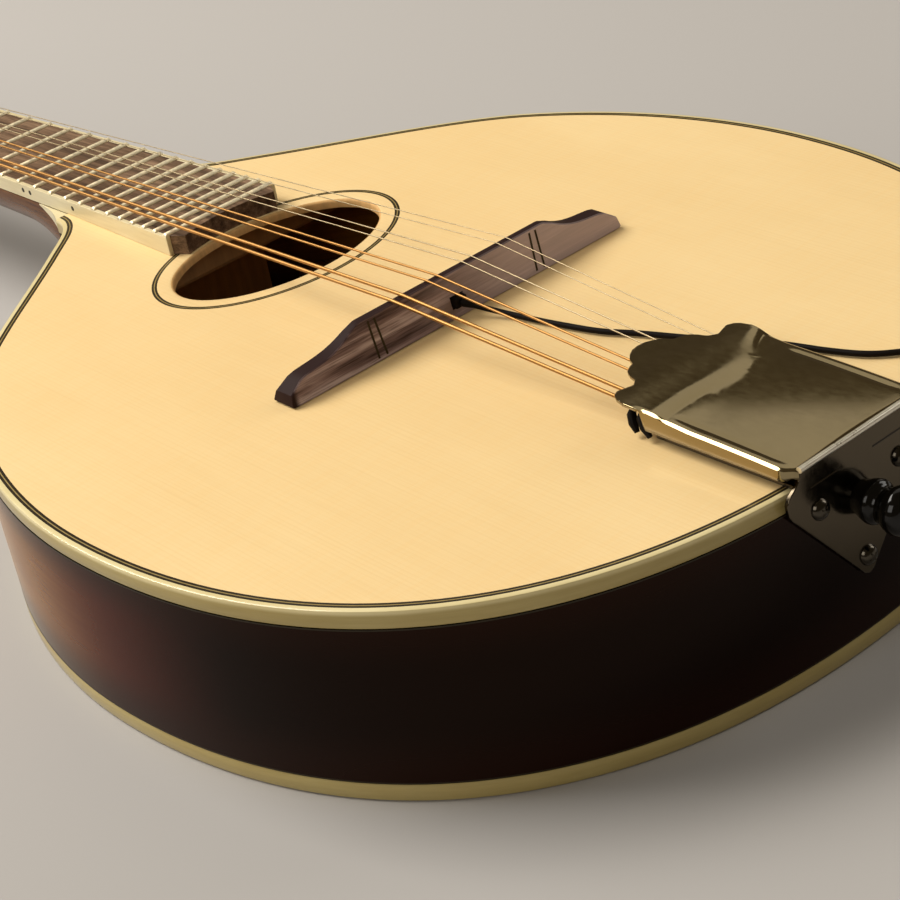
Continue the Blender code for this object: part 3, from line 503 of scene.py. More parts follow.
def piece(name, shape, look, body="body", replaces=(), sharp=35.0, bevel=0.0):
    """Turn a bmesh in millimetres into a smooth-shaded piece that rides on a body."""
    bmesh.ops.remove_doubles(shape, verts=shape.verts, dist=0.0005)
    bmesh.ops.recalc_face_normals(shape, faces=shape.faces)
    mesh = meshed(name, shape, look if isinstance(look, list) else [look])
    mesh.shade_smooth()
    mesh.set_sharp_from_angle(angle=math.radians(sharp))
    made = linked(name, mesh)
    if bevel:
        edges = made.modifiers.new("Edges", "BEVEL")
        edges.width = bevel * MM
        edges.segments = 3
        edges.limit_method = "ANGLE"
        edges.angle_limit = math.radians(35)
        edges.harden_normals = True
    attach(made, body)
    if replaces:
        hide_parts(*([replaces] if isinstance(replaces, str) else replaces))
    return made


def dress(node, look):
    """Give a carried-over node of the frame its detailed material."""
    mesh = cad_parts[node].data
    mesh.materials.clear()
    mesh.materials.append(look)


def skin(rings, shape=None, caps=True, closed=True):
    """Skin rings of equal count; each ring is a list of points in millimetres."""
    if shape is None:
        shape = bmesh.new()
    rows = [[shape.verts.new(spot) for spot in ring] for ring in rings]
    count = len(rows[0])
    for row, following in zip(rows, rows[1:]):
        for i in range(count if closed else count - 1):
            j = (i + 1) % count
            shape.faces.new((row[i], row[j], following[j], following[i]))
    if caps:
        shape.faces.new(rows[0])
        shape.faces.new(rows[-1])
    return shape


def slab(loops, low, high, place=Matrix()):
    """Fill flat outlines, the first outside and the rest holes, between two heights."""
    shape = bmesh.new()
    edges = []
    for loop in loops:
        verts = [shape.verts.new((x, y, low)) for x, y in loop]
        edges += [shape.edges.new((a, b)) for a, b in zip(verts, verts[1:] + verts[:1])]
    filled = bmesh.ops.triangle_fill(shape, edges=edges, use_beauty=True, use_dissolve=True)
    faces = [item for item in filled["geom"] if isinstance(item, bmesh.types.BMFace)]
    raised = bmesh.ops.extrude_face_region(shape, geom=faces, use_keep_orig=True)
    verts = [item for item in raised["geom"] if isinstance(item, bmesh.types.BMVert)]
    bmesh.ops.translate(shape, vec=(0.0, 0.0, high - low), verts=verts)
    bmesh.ops.transform(shape, matrix=place, verts=shape.verts)
    return shape


def lathe(profile, place=Matrix(), steps=32, shape=None):
    """Turn an (r, z) profile round the place's Z axis; points with r = 0 close the ends."""
    rings = []
    for angle in full_turn(steps):
        c, s = math.cos(angle), math.sin(angle)
        rings.append([place @ Vector((r * c, r * s, z)) for r, z in profile])
    rings.append(rings[0])
    return skin(rings, shape, caps=False, closed=False)


def tube(points, radius, sides=10, shape=None):
    """A round tube along a line, with frames carried along it and both ends closed."""
    spots = [Vector(point) for point in points]
    radii = radius if isinstance(radius, list) else [radius] * len(spots)
    across = (spots[1] - spots[0]).normalized().orthogonal().normalized()
    rings = []
    for i, spot in enumerate(spots):
        way = (spots[min(i + 1, len(spots) - 1)] - spots[max(i - 1, 0)]).normalized()
        across = (across - way * across.dot(way)).normalized()
        other = way.cross(across)
        rings.append([spot + (across * math.cos(angle) + other * math.sin(angle)) * radii[i]
                      for angle in full_turn(sides)])
    return skin(rings, shape)


def smooth_route(points, count):
    """Evenly spaced points on one smooth curve through the given ones, and its length."""
    spots = [Vector(p) for p in points]
    fine = []
    for before, start, end, after in zip(spots[:1] + spots, spots, spots[1:], spots[2:] + spots[-1:]):
        fine += interpolate_bezier(start, start + (end - before) / 6, end - (after - start) / 6,
                                   end, 13)[:-1]
    fine.append(spots[-1])
    lengths = [0.0]
    for a, b in zip(fine, fine[1:]):
        lengths.append(lengths[-1] + (b - a).length)
    result = []
    i = 0
    for k in range(count):
        goal = lengths[-1] * k / (count - 1)
        while i < len(fine) - 2 and lengths[i + 1] < goal:
            i += 1
        part = (goal - lengths[i]) / (lengths[i + 1] - lengths[i])
        result.append(fine[i].lerp(fine[i + 1], part))
    return result, lengths[-1]


def smooth_line(marks, count):
    """Evenly spaced flat points on a smooth curve through flat marks."""
    return [(p.x, p.y) for p in smooth_route([(x, y, 0.0) for x, y in marks], count)[0]]


def full_turn(count):
    """Evenly spaced angles round a circle."""
    return [2 * math.pi * i / count for i in range(count)]


def ellipse(a, b, y, count=96):
    return [(a * math.cos(angle), y + b * math.sin(angle)) for angle in full_turn(count)]


def mirrored(line):
    return [(-x, y) for x, y in line]


def block(size, place, shape=None):
    """A box of a given size about the place's origin."""
    x, y, z = (part / 2 for part in size)
    corners = ((-x, -y), (x, -y), (x, y), (-x, y))
    return skin([[place @ Vector((*corner, high)) for corner in corners] for high in (-z, z)], shape)


def at(x, y, z):
    return Matrix.Translation((x, y, z))


def turned(degrees, axis):
    return Matrix.Rotation(math.radians(degrees), 4, axis)


# --- body


def half_outline():
    """The treble half of the outer outline, tail to neck, as points and outward normals."""
    bend = 0.64
    tail = Vector((0.0, TAIL_Y))
    widest = Vector((HALF_WIDTH, WIDEST_Y))
    shoulder = Vector((104.3, 76.8))
    flare = Vector((40.5, 136.0))
    corner = Vector((24.0, JOINT_Y))
    shoulder_dir = Vector((-0.563, 0.826))
    flare_dir = Vector((-0.745, 0.667))
    pieces = (
        (tail, tail + Vector((bend * HALF_WIDTH, 0)),
         widest - Vector((0, bend * (WIDEST_Y - TAIL_Y))), widest, 48),
        (widest, widest + Vector((0, 34)), shoulder - shoulder_dir * 30, shoulder, 24),
        (shoulder, shoulder + shoulder_dir * 24, flare - flare_dir * 30, flare, 20),
        (flare, flare + flare_dir * 11, corner - Vector((0, 9)), corner, 12),
    )
    points = [tail]
    for start, handle_a, handle_b, end, count in pieces:
        points += interpolate_bezier(start, handle_a, handle_b, end, count + 1)[1:]
    ways = [(after - before).normalized() for before, after in zip(points, points[2:])]
    normals = [Vector((way.y, -way.x)) for way in ways]
    return points, [Vector((0.0, -1.0)), *normals, Vector((1.0, 0.0))]


OUTLINE, NORMALS = half_outline()


def edge(offset):
    """The treble half outline, moved inwards."""
    return [tuple(p - n * offset) for p, n in zip(OUTLINE, NORMALS)]


def closed(offset):
    half = edge(offset)
    return half + mirrored(half[1:])[::-1]


def open_edge(offset):
    """The whole outline from the bass side of the neck round the tail to the treble side."""
    half = edge(offset)
    return mirrored(half)[::-1] + half[1:]


def rim(section):
    """Sweep a closed (offset, z) section round the whole outline, open at the neck."""
    lines = [open_edge(offset) for offset, _ in section]
    return skin([[(x, y, z) for (x, y), (_, z) in zip(spots, section)] for spots in zip(*lines)])


def band(low, high, inner, outer, round_edge=0.0):
    """A rectangular rim section, its outer corners rounded where asked."""
    r = round_edge
    if not r:
        return [(inner, low), (outer, low), (outer, high), (inner, high)]
    cut = 0.3 * r
    return [(inner, low), (outer + r, low), (outer + cut, low + cut), (outer, low + r),
            (outer, high - r), (outer + cut, high - cut), (outer + r, high), (inner, high)]


def build_top(looks):
    words = (("outer", looks.black_line), ("middle", looks.white_line), ("inner", looks.black_line))
    start = BINDING_TOP
    for wide, (word, look) in zip(PURFLING, words):
        piece(f"purfling_{word}", rim(band(TOP - PURFLING_DEEP, TOP, start + wide, start)), look)
        start += wide
    inner_a = HOLE_A + ROSETTE_IN
    inner_b = HOLE_B + ROSETTE_IN
    width = sum(ROSETTE_LINES)
    loops = [closed(start), ellipse(inner_a + width, inner_b + width, HOLE_Y)]
    piece("top_field", slab(loops, TOP - PLATE, TOP), looks.spruce,
          replaces="soundboard")

    # The stretch between the rosette and the hole, with the hole's edge rounded over.
    rings = [(inner_a, inner_b, TOP)]
    for grow, drop in ((1.3, 0.0), (0.7, 0.12), (0.25, 0.4), (0.0, 0.9), (0.0, PLATE), (6.0, PLATE)):
        rings.append((HOLE_A + grow, HOLE_B + grow, TOP - drop))
    shape = skin([[(x, y, z) for x, y in ellipse(a, b, HOLE_Y)] for a, b, z in rings], caps=False)
    for face in shape.faces:
        if face.calc_center_median().z < TOP - 0.25:
            face.material_index = 1
    piece("hole_surround", shape, [looks.spruce, looks.edge])

    start = 0.0
    for wide, (word, look) in zip(ROSETTE_LINES, words):
        loops = [ellipse(inner_a + grow, inner_b + grow, HOLE_Y) for grow in (start + wide, start)]
        piece(f"rosette_{word}", slab(loops, TOP - ROSETTE_DEEP, TOP), look,
              replaces="rosette" if word == "outer" else ())
        start += wide


def build_sides(looks):
    piece("binding_upper", rim(band(TOP - BINDING_H, TOP, BINDING_TOP, 0.0, 0.6)), looks.ivory,
          replaces="binding_top")
    piece("binding_lower", rim(band(0.0, BINDING_H, BINDING, 0.0, 0.7)), looks.ivory,
          replaces="binding_back")
    low = BINDING_H
    high = TOP - BINDING_H
    section = [(2.0, low), (0.05, low), (0.05, (low + high) / 2), (0.05, high), (2.0, high)]
    piece("ribs", rim(section), looks.sides,
          replaces=("side_bass", "side_treble"))
    for word, low in (("upper", high - SIDE_LINE), ("lower", BINDING_H)):
        piece(f"side_line_{word}", rim(band(low, low + SIDE_LINE, 1.2, 0.02)), looks.black_line)
    piece("back_field", slab([closed(BINDING + 0.5)], 0.0, PLATE), looks.back,
          replaces="back_plate")
    piece("back_purfling", rim(band(0.0, 1.2, BINDING + 0.5, BINDING)), looks.black_line)


def build_inside(looks):
    """Kerfed linings, and plain material for the blocks and braces."""
    for node in ("tail_block", "brace_soundhole", "brace_bridge", "brace_back"):
        dress(node, looks.bare)
    dress("neck_block", looks.block)
    outer = [spot for spot in edge(BINDING + 0.3) if spot[0] > 31.0 and spot[1] < 132.0]
    inner = [spot for spot in edge(BINDING + 5.3) if spot[0] > 27.0 and spot[1] < 132.0]
    for side, word in SIDES:
        line, inward = ([Vector((side * x, y)) for x, y in spots] for spots in (outer, inner))
        for level, low in (("top", TOP - PLATE - LINING_GAP - LINING_H), ("back", PLATE + LINING_GAP)):
            shape = bmesh.new()
            for a, b, c, d in zip(line, line[1:], inward, inward[1:]):
                gap = (b - a) * 0.12
                corners = (a + gap, b - gap, d - gap * 0.8, c + gap * 0.8)
                skin([[(p.x, p.y, z) for p in corners] for z in (low, low + LINING_H)], shape)
            piece(f"kerfs_{level}_{word}", shape, looks.bare,
                  replaces=f"lining_{level}_{word}")


# --- neck and fingerboard


def fret_y(number):
    return SCALE * 2 ** (-number / 12)


def board_face(y):
    return TOP + BOARD_TOP - BOARD_SLOPE * (y - fret_y(FRETS))


def neck_face(y):
    return board_face(y) - BOARD_THICK - 0.02


def board_half(y):
    part = (y - fret_y(22)) / (fret_y(12) - fret_y(22))
    return BOARD_HALF_22 + (BOARD_HALF_12 - BOARD_HALF_22) * part


def board_bottom(y):
    return TOP + 0.02 if y < JOINT_Y else board_face(y) - BOARD_THICK


def board_slab(loop):
    """A sloping slab under a flat outline, as the fingerboard and its binding are."""
    shape = slab([loop], 0.0, 1.0)
    for vert in shape.verts:
        y = vert.co.y
        vert.co.z = board_face(y) if vert.co.z > 0.5 else board_bottom(y)
    return shape


def fret_wire(shape, y):
    """A crowned bar across the board and its binding, its ends filed back."""
    half = board_half(y) - 0.1
    z = board_face(y)
    rings = []
    for x, scale in ((-half, 0.12), (-half + 0.5, 0.95), (-half + 0.7, 1.0),
                     (half - 0.7, 1.0), (half - 0.5, 0.95), (half, 0.12)):
        ring = []
        for angle in (math.pi * i / 8 for i in range(9)):
            rise = FRET_HIGH * scale * math.sin(angle) ** 0.8
            ring.append((x, y - 1.05 * math.cos(angle), z + rise))
        rings.append(ring + [(x, y + 0.9, z - 0.3), (x, y - 0.9, z - 0.3)])
    skin(rings, shape)


def build_fingerboard(looks):
    reach = board_half(fret_y(22)) - BOARD_BINDING - 2.4
    a = HOLE_A + 1.4
    b = HOLE_B + 1.4
    arc = [(x, HOLE_Y + b * math.sqrt(1 - (x / a) ** 2))
           for x in (reach * i / 20 for i in range(-20, 21))]
    ys = (BOARD_CORNER_Y, JOINT_Y - 0.01, JOINT_Y, SCALE)
    inner = [(board_half(y) - BOARD_BINDING, y) for y in ys]
    piece("board", board_slab(arc + inner + mirrored(inner)[::-1]), looks.board,
          replaces="fingerboard", bevel=0.15)
    shape = bmesh.new()
    for number in range(1, FRETS + 1):
        fret_wire(shape, fret_y(number))
    piece("fret_wires", shape, looks.fret, sharp=50.0)
    for side, word in SIDES:
        loop = [(side * board_half(y), y) for y in ys] + [(side * x, y) for x, y in inner[::-1]]
        piece(f"board_edge_{word}", board_slab(loop), looks.board_ivory,
              replaces=f"fingerboard_binding_{word}", bevel=0.25)
    build_dots(looks)


def build_dots(looks):
    """Side dots in the bass binding, a pair of them at the octave."""
    shape = bmesh.new()
    for number in (3, 5, 7, 10, 12, 15):
        y = (fret_y(number) + fret_y(number - 1)) / 2
        for off in ((-2.2, 2.2) if number == 12 else (0.0,)):
            place = at(-board_half(y + off) + 0.3, y + off, board_face(y) - 2.1) @ turned(-90, "Y")
            lathe(((0.0, 0.34), (0.7, 0.34), (0.85, 0.3), (0.85, 0.0)), place, 16, shape)
    piece("side_dots", shape, looks.black_line)


def superellipse(width, y, face, deep, power, floor=-1e3):
    """A D-shaped section: flat face, rounded below."""
    spots = []
    for angle in (math.pi * i / 40 for i in range(41)):
        across = math.copysign(abs(math.cos(angle)) ** (2 / power), math.cos(angle))
        down = math.sin(angle) ** (2 / power)
        spots.append((width * across, y, max(face - deep * down, floor)))
    return spots


def build_neck(looks):
    heel = ((0.0, 46.0), (3.0, 44.5), (7.0, 39.5), (12.0, 32.0), (18.0, 25.0), (25.0, 20.0),
            (34.0, 17.2), (48.0, 16.5))
    rings = []
    for along, deep in smooth_line(heel, 26):
        y = HEEL_Y + along
        power = 2.0 + 0.5 * (deep - 16.5) / 30.0
        rings.append(superellipse(board_half(y) - 0.05, y, neck_face(y), deep, power, 7.0))
    first = HEEL_Y + heel[-1][0]
    last = SCALE - 12.0
    for i in range(1, 9):
        y = first + (last - first) * i / 8
        rings.append(superellipse(board_half(y) - 0.05, y, neck_face(y), 16.5 - 3.0 * i / 8, 2.0))
    nut_face = neck_face(SCALE)
    for along, width, drop, deep, power in ((-6.0, 14.7, 0.0, 13.9, 2.1), (0.0, 15.1, 0.0, 15.0, 2.3),
                                            (5.0, 15.2, 0.0, 17.3, 3.0), (12.0, 14.8, 4.6, 13.4, 3.4)):
        rings.append(superellipse(width, SCALE + along, nut_face - drop, deep, power))
    piece("neck_shaft", skin(rings), looks.neck, replaces="neck", sharp=50.0)
    cap = [(x, y) for x, y in ellipse(8.0, 5.5, HEEL_Y + 0.2, 64) if y >= HEEL_Y + 0.2 - 1e-6]
    piece("heel_button", slab([cap], 4.1, 6.95), looks.ebony,
          replaces="heel_cap", bevel=0.5)
    build_nut(looks, nut_face)
    dress("truss_rod", looks.steel)


def build_returns(looks):
    """The edge binding's two ends, which sweep in along the neck and run out under the board."""
    for side, word in SIDES:
        rings = []
        for part in (k / 14 for k in range(15)):
            y = HEEL_Y + 18.0 * part
            inner = side * (board_half(y) - 1.2)
            outer = side * (board_half(y) + 0.1 + 4.4 * (1 - part) ** 2)
            low = TOP - BINDING_H + 3.9 * part * part
            high = neck_face(y)
            rings.append([(inner, y, low), (outer, y, low), (outer, y, high), (inner, y, high)])
        piece(f"binding_return_{word}", skin(rings), looks.board_ivory,
              bevel=0.2)


def build_nut(looks, low):
    """A bone nut whose top edge is filed with a slot for each string."""
    half = board_half(SCALE)
    high = span("nut", 2)[1]
    spots = [(-half, low), (half, low), (half, high - 0.8), (half - 0.8, high)]
    for index in reversed(range(8)):
        x = course_x(index, NUT_SPREAD, NUT_PAIR)
        r = STRING_D[index] / 2 + 0.05
        bottom = TOP + NUT_STRING_Z - STRING_D[index] / 2
        waist = min(bottom + r, high)
        spots += [(x + r, high), (x + r, waist), (x, bottom - 0.05), (x - r, waist), (x - r, high)]
    spots += [(-half + 0.8, high), (-half, high - 0.8)]
    rings = [[(x, NUT_Y + off, z) for x, z in spots] for off in (0.0, NUT_THICK)]
    piece("bone_nut", skin(rings), looks.bone, replaces="nut", bevel=0.15)


# --- headstock and tuners

HEAD = at(0.0, HEAD_Y, HEAD_Z) @ turned(-HEAD_TILT, "X")


def head_outline():
    """The treble half of the headstock, from the nut to the crown, as a smooth line."""
    return smooth_line(((15.3, 0.0), (15.6, 5.0), (18.5, 11.0), (25.5, 17.0), (29.5, 24.0),
                        (30.0, 32.0), (30.0, 60.0), (30.8, 84.0), (33.0, 104.0), (34.0, 112.0),
                        (32.5, 119.0), (28.0, 124.0), (21.0, 127.0), (11.0, 129.5), (0.0, 130.5)), 60)


def build_headstock(looks):
    half = head_outline()
    loops = [half + mirrored(half[:-1])[::-1]]
    loops += [[(side * POST_X + x, y) for x, y in ellipse(3.3, 3.3, u, 32)]
              for side, _ in SIDES for u in POST_U]
    piece("headstock_core", slab(loops, HEAD_BACK, -VENEER, HEAD), looks.neck,
          bevel=0.4)
    piece("headstock_face", slab(loops, -VENEER, 0.0, HEAD), looks.ebony,
          replaces="headstock_veneer", bevel=0.4)
    shape = bmesh.new()
    for side, _ in SIDES:
        for u in POST_U:
            profile = ((3.25, 0.0), (3.3, 0.7), (4.4, 0.8), (5.1, 0.45), (5.3, 0.0))
            lathe(profile, HEAD @ at(side * POST_X, u, 0.0), 32, shape)
    piece("post_bushings", shape, looks.nickel)
    piece("rod_cover", slab([ellipse(6.0, 9.0, 15.0, 48)], 0.0, 1.2, HEAD), looks.black_line,
          bevel=0.3)


def gear(shape, low, high, place):
    """A wheel with rounded teeth between two heights."""
    rings = []
    for z, shrink in ((low, 0.35), (low + 0.35, 0.0), (high - 0.35, 0.0), (high, 0.35)):
        ring = []
        for angle in full_turn(GEAR_TEETH * 6):
            tooth = 0.5 + 0.5 * math.cos(GEAR_TEETH * angle)
            r = GEAR_R - shrink - (1 - tooth ** 0.7)
            ring.append(place @ Vector((r * math.cos(angle), r * math.sin(angle), z)))
        rings.append(ring)
    skin(rings, shape)


def worm(shape, place):
    """A worm's helical ridge round its shaft."""
    r = WORM_R - 0.55
    points = []
    for part in (i / 96 for i in range(97)):
        angle = 2 * math.pi * WORM_TURNS * part
        spot = Vector((r * math.cos(angle), r * math.sin(angle), (part - 0.5) * WORM_LONG))
        points.append(place @ spot)
    tube(points, 0.5, 8, shape)


def build_tuners(looks):
    high = HEAD_BACK - 0.3
    low = high - 1.2
    for side, word in SIDES:
        inner = side * (POST_X - 7.0)
        outer = side * (POST_X + 8.0)
        start = POST_U[0] - 8.0
        end = POST_U[-1] + WORM_OFFSET + 6.0
        loop = [(inner, start), (outer, start), (outer, end), (inner, end)]
        shape = slab([loop], low, high + 0.25, HEAD)
        for u in POST_U:
            for off in (-1, 1):
                spot = at(side * POST_X + off * 5.0, u + WORM_OFFSET, low - 2.6)
                block((1.2, 6.0, 5.6), HEAD @ spot, shape)
        piece(f"tuner_strip_{word}", shape, looks.satin,
              replaces=f"tuner_plate_{word}", bevel=0.3)
        build_plate_screws(looks, side, word, low)
        for number, u in enumerate(POST_U, 1):
            build_post(looks, side, f"{word}_{number}", u, low - 0.3)
            build_knob(looks, side, f"{word}_{number}", u + WORM_OFFSET, low - 0.4 - WORM_R)


def build_plate_screws(looks, side, word, plate_low):
    shape = bmesh.new()
    spots = [POST_U[0] - 5.5, POST_U[-1] + WORM_OFFSET + 3.8]
    spots += [(a + b) / 2 + 4.2 for a, b in zip(POST_U, POST_U[1:])]
    for u in spots:
        place = HEAD @ at(side * (POST_X - 4.6), u, plate_low) @ turned(180, "X")
        lathe(((0.0, 0.75), (0.9, 0.7), (1.5, 0.3), (1.7, 0.0)), place, 20, shape)
    piece(f"plate_screws_{word}", shape, looks.nickel)


def build_post(looks, side, word, u, gear_high):
    place = HEAD @ at(side * POST_X, u, 0.0)
    top = POST_HIGH
    shape = lathe(((0.0, top), (2.1, top), (2.7, top - 0.25), (3.0, top - 0.8), (3.0, top - 2.4),
                   (2.7, top - 3.1), (2.45, top - 4.5), (2.45, 3.6), (2.75, 2.2), (3.0, 1.2),
                   (3.0, gear_high), (0.0, gear_high)), place)
    low = gear_high - GEAR_DEEP
    gear(shape, low, gear_high, place)
    lathe(((2.0, low), (2.0, low - 0.9), (1.6, low - 1.4), (0.0, low - 1.4)), place, 24, shape)
    # A black rod across the post stands for the string hole: painted shade.
    hole = tube([place @ Vector((0.0, y, 7.2)) for y in (-3.05, 0.0, 3.05)], 0.75, 12)
    piece(f"string_hole_{word}", hole, looks.black_line, f"post_{word}")
    piece(f"peg_{word}", shape, looks.nickel, f"post_{word}", f"post_{word}")


def button_ring(half_u, half_v, x):
    """A rounded-rectangle ring across the knob's axis, at distance x along it."""
    ring = []
    for angle in full_turn(28):
        c, s = (math.copysign(abs(part) ** 0.62, part) for part in (math.cos(angle), math.sin(angle)))
        ring.append((half_v * c, half_u * s, x))
    return ring


def build_knob(looks, side, word, axis_u, axis_v):
    place = HEAD @ at(side * POST_X, axis_u, axis_v) @ turned(side * 90, "Y")
    reach = BUTTON_X - POST_X
    metal = lathe(((0.0, reach - 2.0), (1.5, reach - 2.0), (1.5, 7.0), (2.2, 6.6), (2.2, 5.8),
                   (1.6, 5.4), (1.6, 3.9), (1.9, 3.7), (1.9, -3.7), (1.6, -3.9), (1.6, -6.6),
                   (1.2, -7.0), (0.0, -7.0)), place, 28)
    worm(metal, place)
    piece(f"worm_{word}", metal, looks.nickel, f"knob_{word}")
    rings = []
    for x, scale in ((-3.5, 0.30), (-3.3, 0.42), (-2.4, 0.62), (-1.0, 0.82), (0.6, 0.95), (2.2, 1.0),
                     (4.0, 0.97), (4.9, 0.86), (5.4, 0.66), (5.5, 0.45)):
        ring = button_ring(7.0 * scale, 3.0 * min(1.0, 0.25 + 0.75 * scale), reach + x)
        rings.append([place @ Vector(spot) for spot in ring])
    piece(f"button_{word}", skin(rings), looks.pearl, f"knob_{word}",
          f"knob_{word}", 60.0)
    screw = lathe(((0.0, reach + 5.5), (1.2, reach + 5.5), (1.5, reach + 5.4), (1.6, reach + 5.0)),
                  place, 20)
    piece(f"button_screw_{word}", screw, looks.nickel, f"knob_{word}")


# --- strings


def course_x(index, spread, pair):
    course, member = divmod(index, 2)
    return -spread / 2 + spread * course / 3 + (member - 0.5) * pair


def build_strings(looks):
    for index, (word, thick) in enumerate(zip(STRING_NAMES, STRING_D)):
        bass = index < 4
        side = -1 if bass else 1
        order = index if bass else 7 - index
        look = looks.bronze if bass else looks.wire
        radius = thick / 2
        hook = Vector((course_x(index, HOOK_SPREAD, HOOK_PAIR), HOOK_Y, TOP + HOOK_Z))
        bridge = Vector((course_x(index, BRIDGE_SPREAD, BRIDGE_PAIR), BRIDGE_Y, TOP + STRING_Z))
        nut = Vector((course_x(index, NUT_SPREAD, NUT_PAIR), NUT_Y, TOP + NUT_STRING_Z))
        grip = 2.5 + radius
        touch = HEAD @ Vector((side * (POST_X - grip), POST_U[order], WRAP_START))
        along = (bridge - hook).normalized()
        start = hook + along * 6.5
        run = [start.lerp(bridge, k / 12) for k in range(12)]
        run += [bridge + Vector((0.0, -0.6, -0.03)), bridge + Vector((0.0, 0.6, 0.0))]
        run += [bridge.lerp(nut, k / 30) for k in range(1, 30)]
        after = nut + Vector((0.0, NUT_THICK, -0.12))
        run += [nut] + [after.lerp(touch, k / 6) for k in range(7)]
        shape = tube(run, radius)
        add_loop(shape, hook, start, along, radius)
        piece(f"wire_{word}", shape, look, replaces=f"string_{word}", sharp=60.0)
        build_winding(looks, side, order, index, look, grip)


def add_loop(shape, hook, start, along, radius):
    """The ball end's loop round its hook, with the twisted wraps that close it."""
    loop = []
    for angle in (math.radians(150 - 300 * k / 16) for k in range(17)):
        loop.append(hook + along * (0.9 - 1.9 * math.cos(angle)) * 0.9
                    + Vector((1.45 * math.sin(angle), 0.0, 0.0)))
    tube([start - along * 0.8] + loop + [start - along * 0.7], min(radius, 0.25), 8, shape)
    twist = []
    for part in (k / 40 for k in range(41)):
        angle = 2 * math.pi * 6 * part
        swing = Vector((math.cos(angle), 0.0, math.sin(angle))) * (radius + 0.12)
        twist.append(start + along * (5.0 * part - 1.2) + swing)
    tube(twist, 0.16, 6, shape)


def build_winding(looks, side, order, index, look, grip):
    """Turns of string round the post's waist, up from where the string arrives."""
    radius = STRING_D[index] / 2
    pitch = 2 * radius + 0.08
    start = math.pi if side > 0 else 0.0
    points = []
    for turns in (k / 24 for k in range(int(min(3.5, 3.4 / pitch) * 24) + 1)):
        angle = start + 2 * math.pi * turns
        points.append(HEAD @ Vector((side * POST_X + grip * math.cos(angle),
                                     POST_U[order] + grip * math.sin(angle),
                                     WRAP_START + pitch * turns)))
    post = f"post_{SIDES[side > 0][1]}_{order + 1}"
    piece(f"winding_{STRING_NAMES[index]}", tube(points, radius, 8), look, post, sharp=60.0)


# --- bridge and pickup


def bridge_outline():
    """Height of the bridge along its treble half, from the centre to the wing's tip."""
    curve = ((23.0, 11.2), (21.0, 10.1), (19.0, 9.2), (16.5, 8.35), (14.0, 7.8), (11.5, 7.45),
             (9.0, 7.2), (6.5, 6.9), (4.4, 6.3), (0.6, 3.6), (0.0, 1.4))
    crest = [(0.0, CREST), (32.6, CREST), (33.4, CREST - 0.12), (34.6, CREST - 0.65)]
    return crest + [(BRIDGE_HALF - back, high) for back, high in curve]


def bridge_faces(z):
    """Where the front and tail faces of the bridge are, at a height above the soundboard."""
    drop = CREST - z
    front = min(1.3 + drop * math.tan(math.radians(17.0)), 5.4)
    return BRIDGE_Y + front, BRIDGE_Y - 1.3 - drop * math.tan(math.radians(9.0))


def build_bridge(looks):
    marks = bridge_outline()
    soft = 0.3
    rings = []
    for x, high in [(-x, z) for x, z in marks[:0:-1]] + marks:
        foot = 0.3 if abs(x) < BRIDGE_HALF - 0.3 else 0.6
        low_front, low_tail = bridge_faces(foot)
        mid_front, mid_tail = bridge_faces(high - soft)
        top_front, top_tail = bridge_faces(high)
        rings.append([(x, low_tail, TOP + foot), (x, low_front, TOP + foot),
                      (x, mid_front, TOP + high - soft), (x, top_front - soft, TOP + high),
                      (x, top_tail + soft, TOP + high), (x, mid_tail, TOP + high - soft)])
    made = piece("bridge_blank", skin(rings), looks.bridge,
                 replaces="bridge", sharp=28.0)
    cut_notches(made)
    lines = bmesh.new()
    for side, _ in SIDES:
        for top_x, low_x in ((28.0, 27.2), (30.2, 30.0)):
            rings = []
            for z, x in ((CREST - 0.9, top_x), (1.0, low_x)):
                y = bridge_faces(z)[1]
                rings.append([(side * x + off, y + deep, TOP + z) for off, deep in
                              ((-0.32, 0.3), (0.32, 0.3), (0.32, -0.06), (-0.32, -0.06))])
            skin(rings, lines)
    piece("bridge_lines", lines, looks.black_line)


def cut_notches(made):
    """Cut the string notches and the lead's recess out of the bridge's own mesh."""
    cutter = block((4.8, 6.0, 3.6), at(-0.9, BRIDGE_Y - 4.0, TOP + 4.6))
    for index, thick in enumerate(STRING_D):
        x = course_x(index, BRIDGE_SPREAD, BRIDGE_PAIR)
        place = at(x, BRIDGE_Y, TOP + STRING_Z + 1.2) @ turned(-4.7, "X")
        block((thick + 0.24, 12.0, 2.4 + thick), place, cutter)
    tool = linked("bridge_cuts", meshed("bridge_cuts", cutter))
    cut = made.modifiers.new("Notches", "BOOLEAN")
    cut.operation = "DIFFERENCE"
    cut.object = tool
    graph = bpy.context.evaluated_depsgraph_get()
    mesh = bpy.data.meshes.new_from_object(made.evaluated_get(graph))
    made.modifiers.clear()
    made.data = mesh
    mesh.set_sharp_from_angle(angle=math.radians(28))
    bpy.data.objects.remove(tool, do_unlink=True)


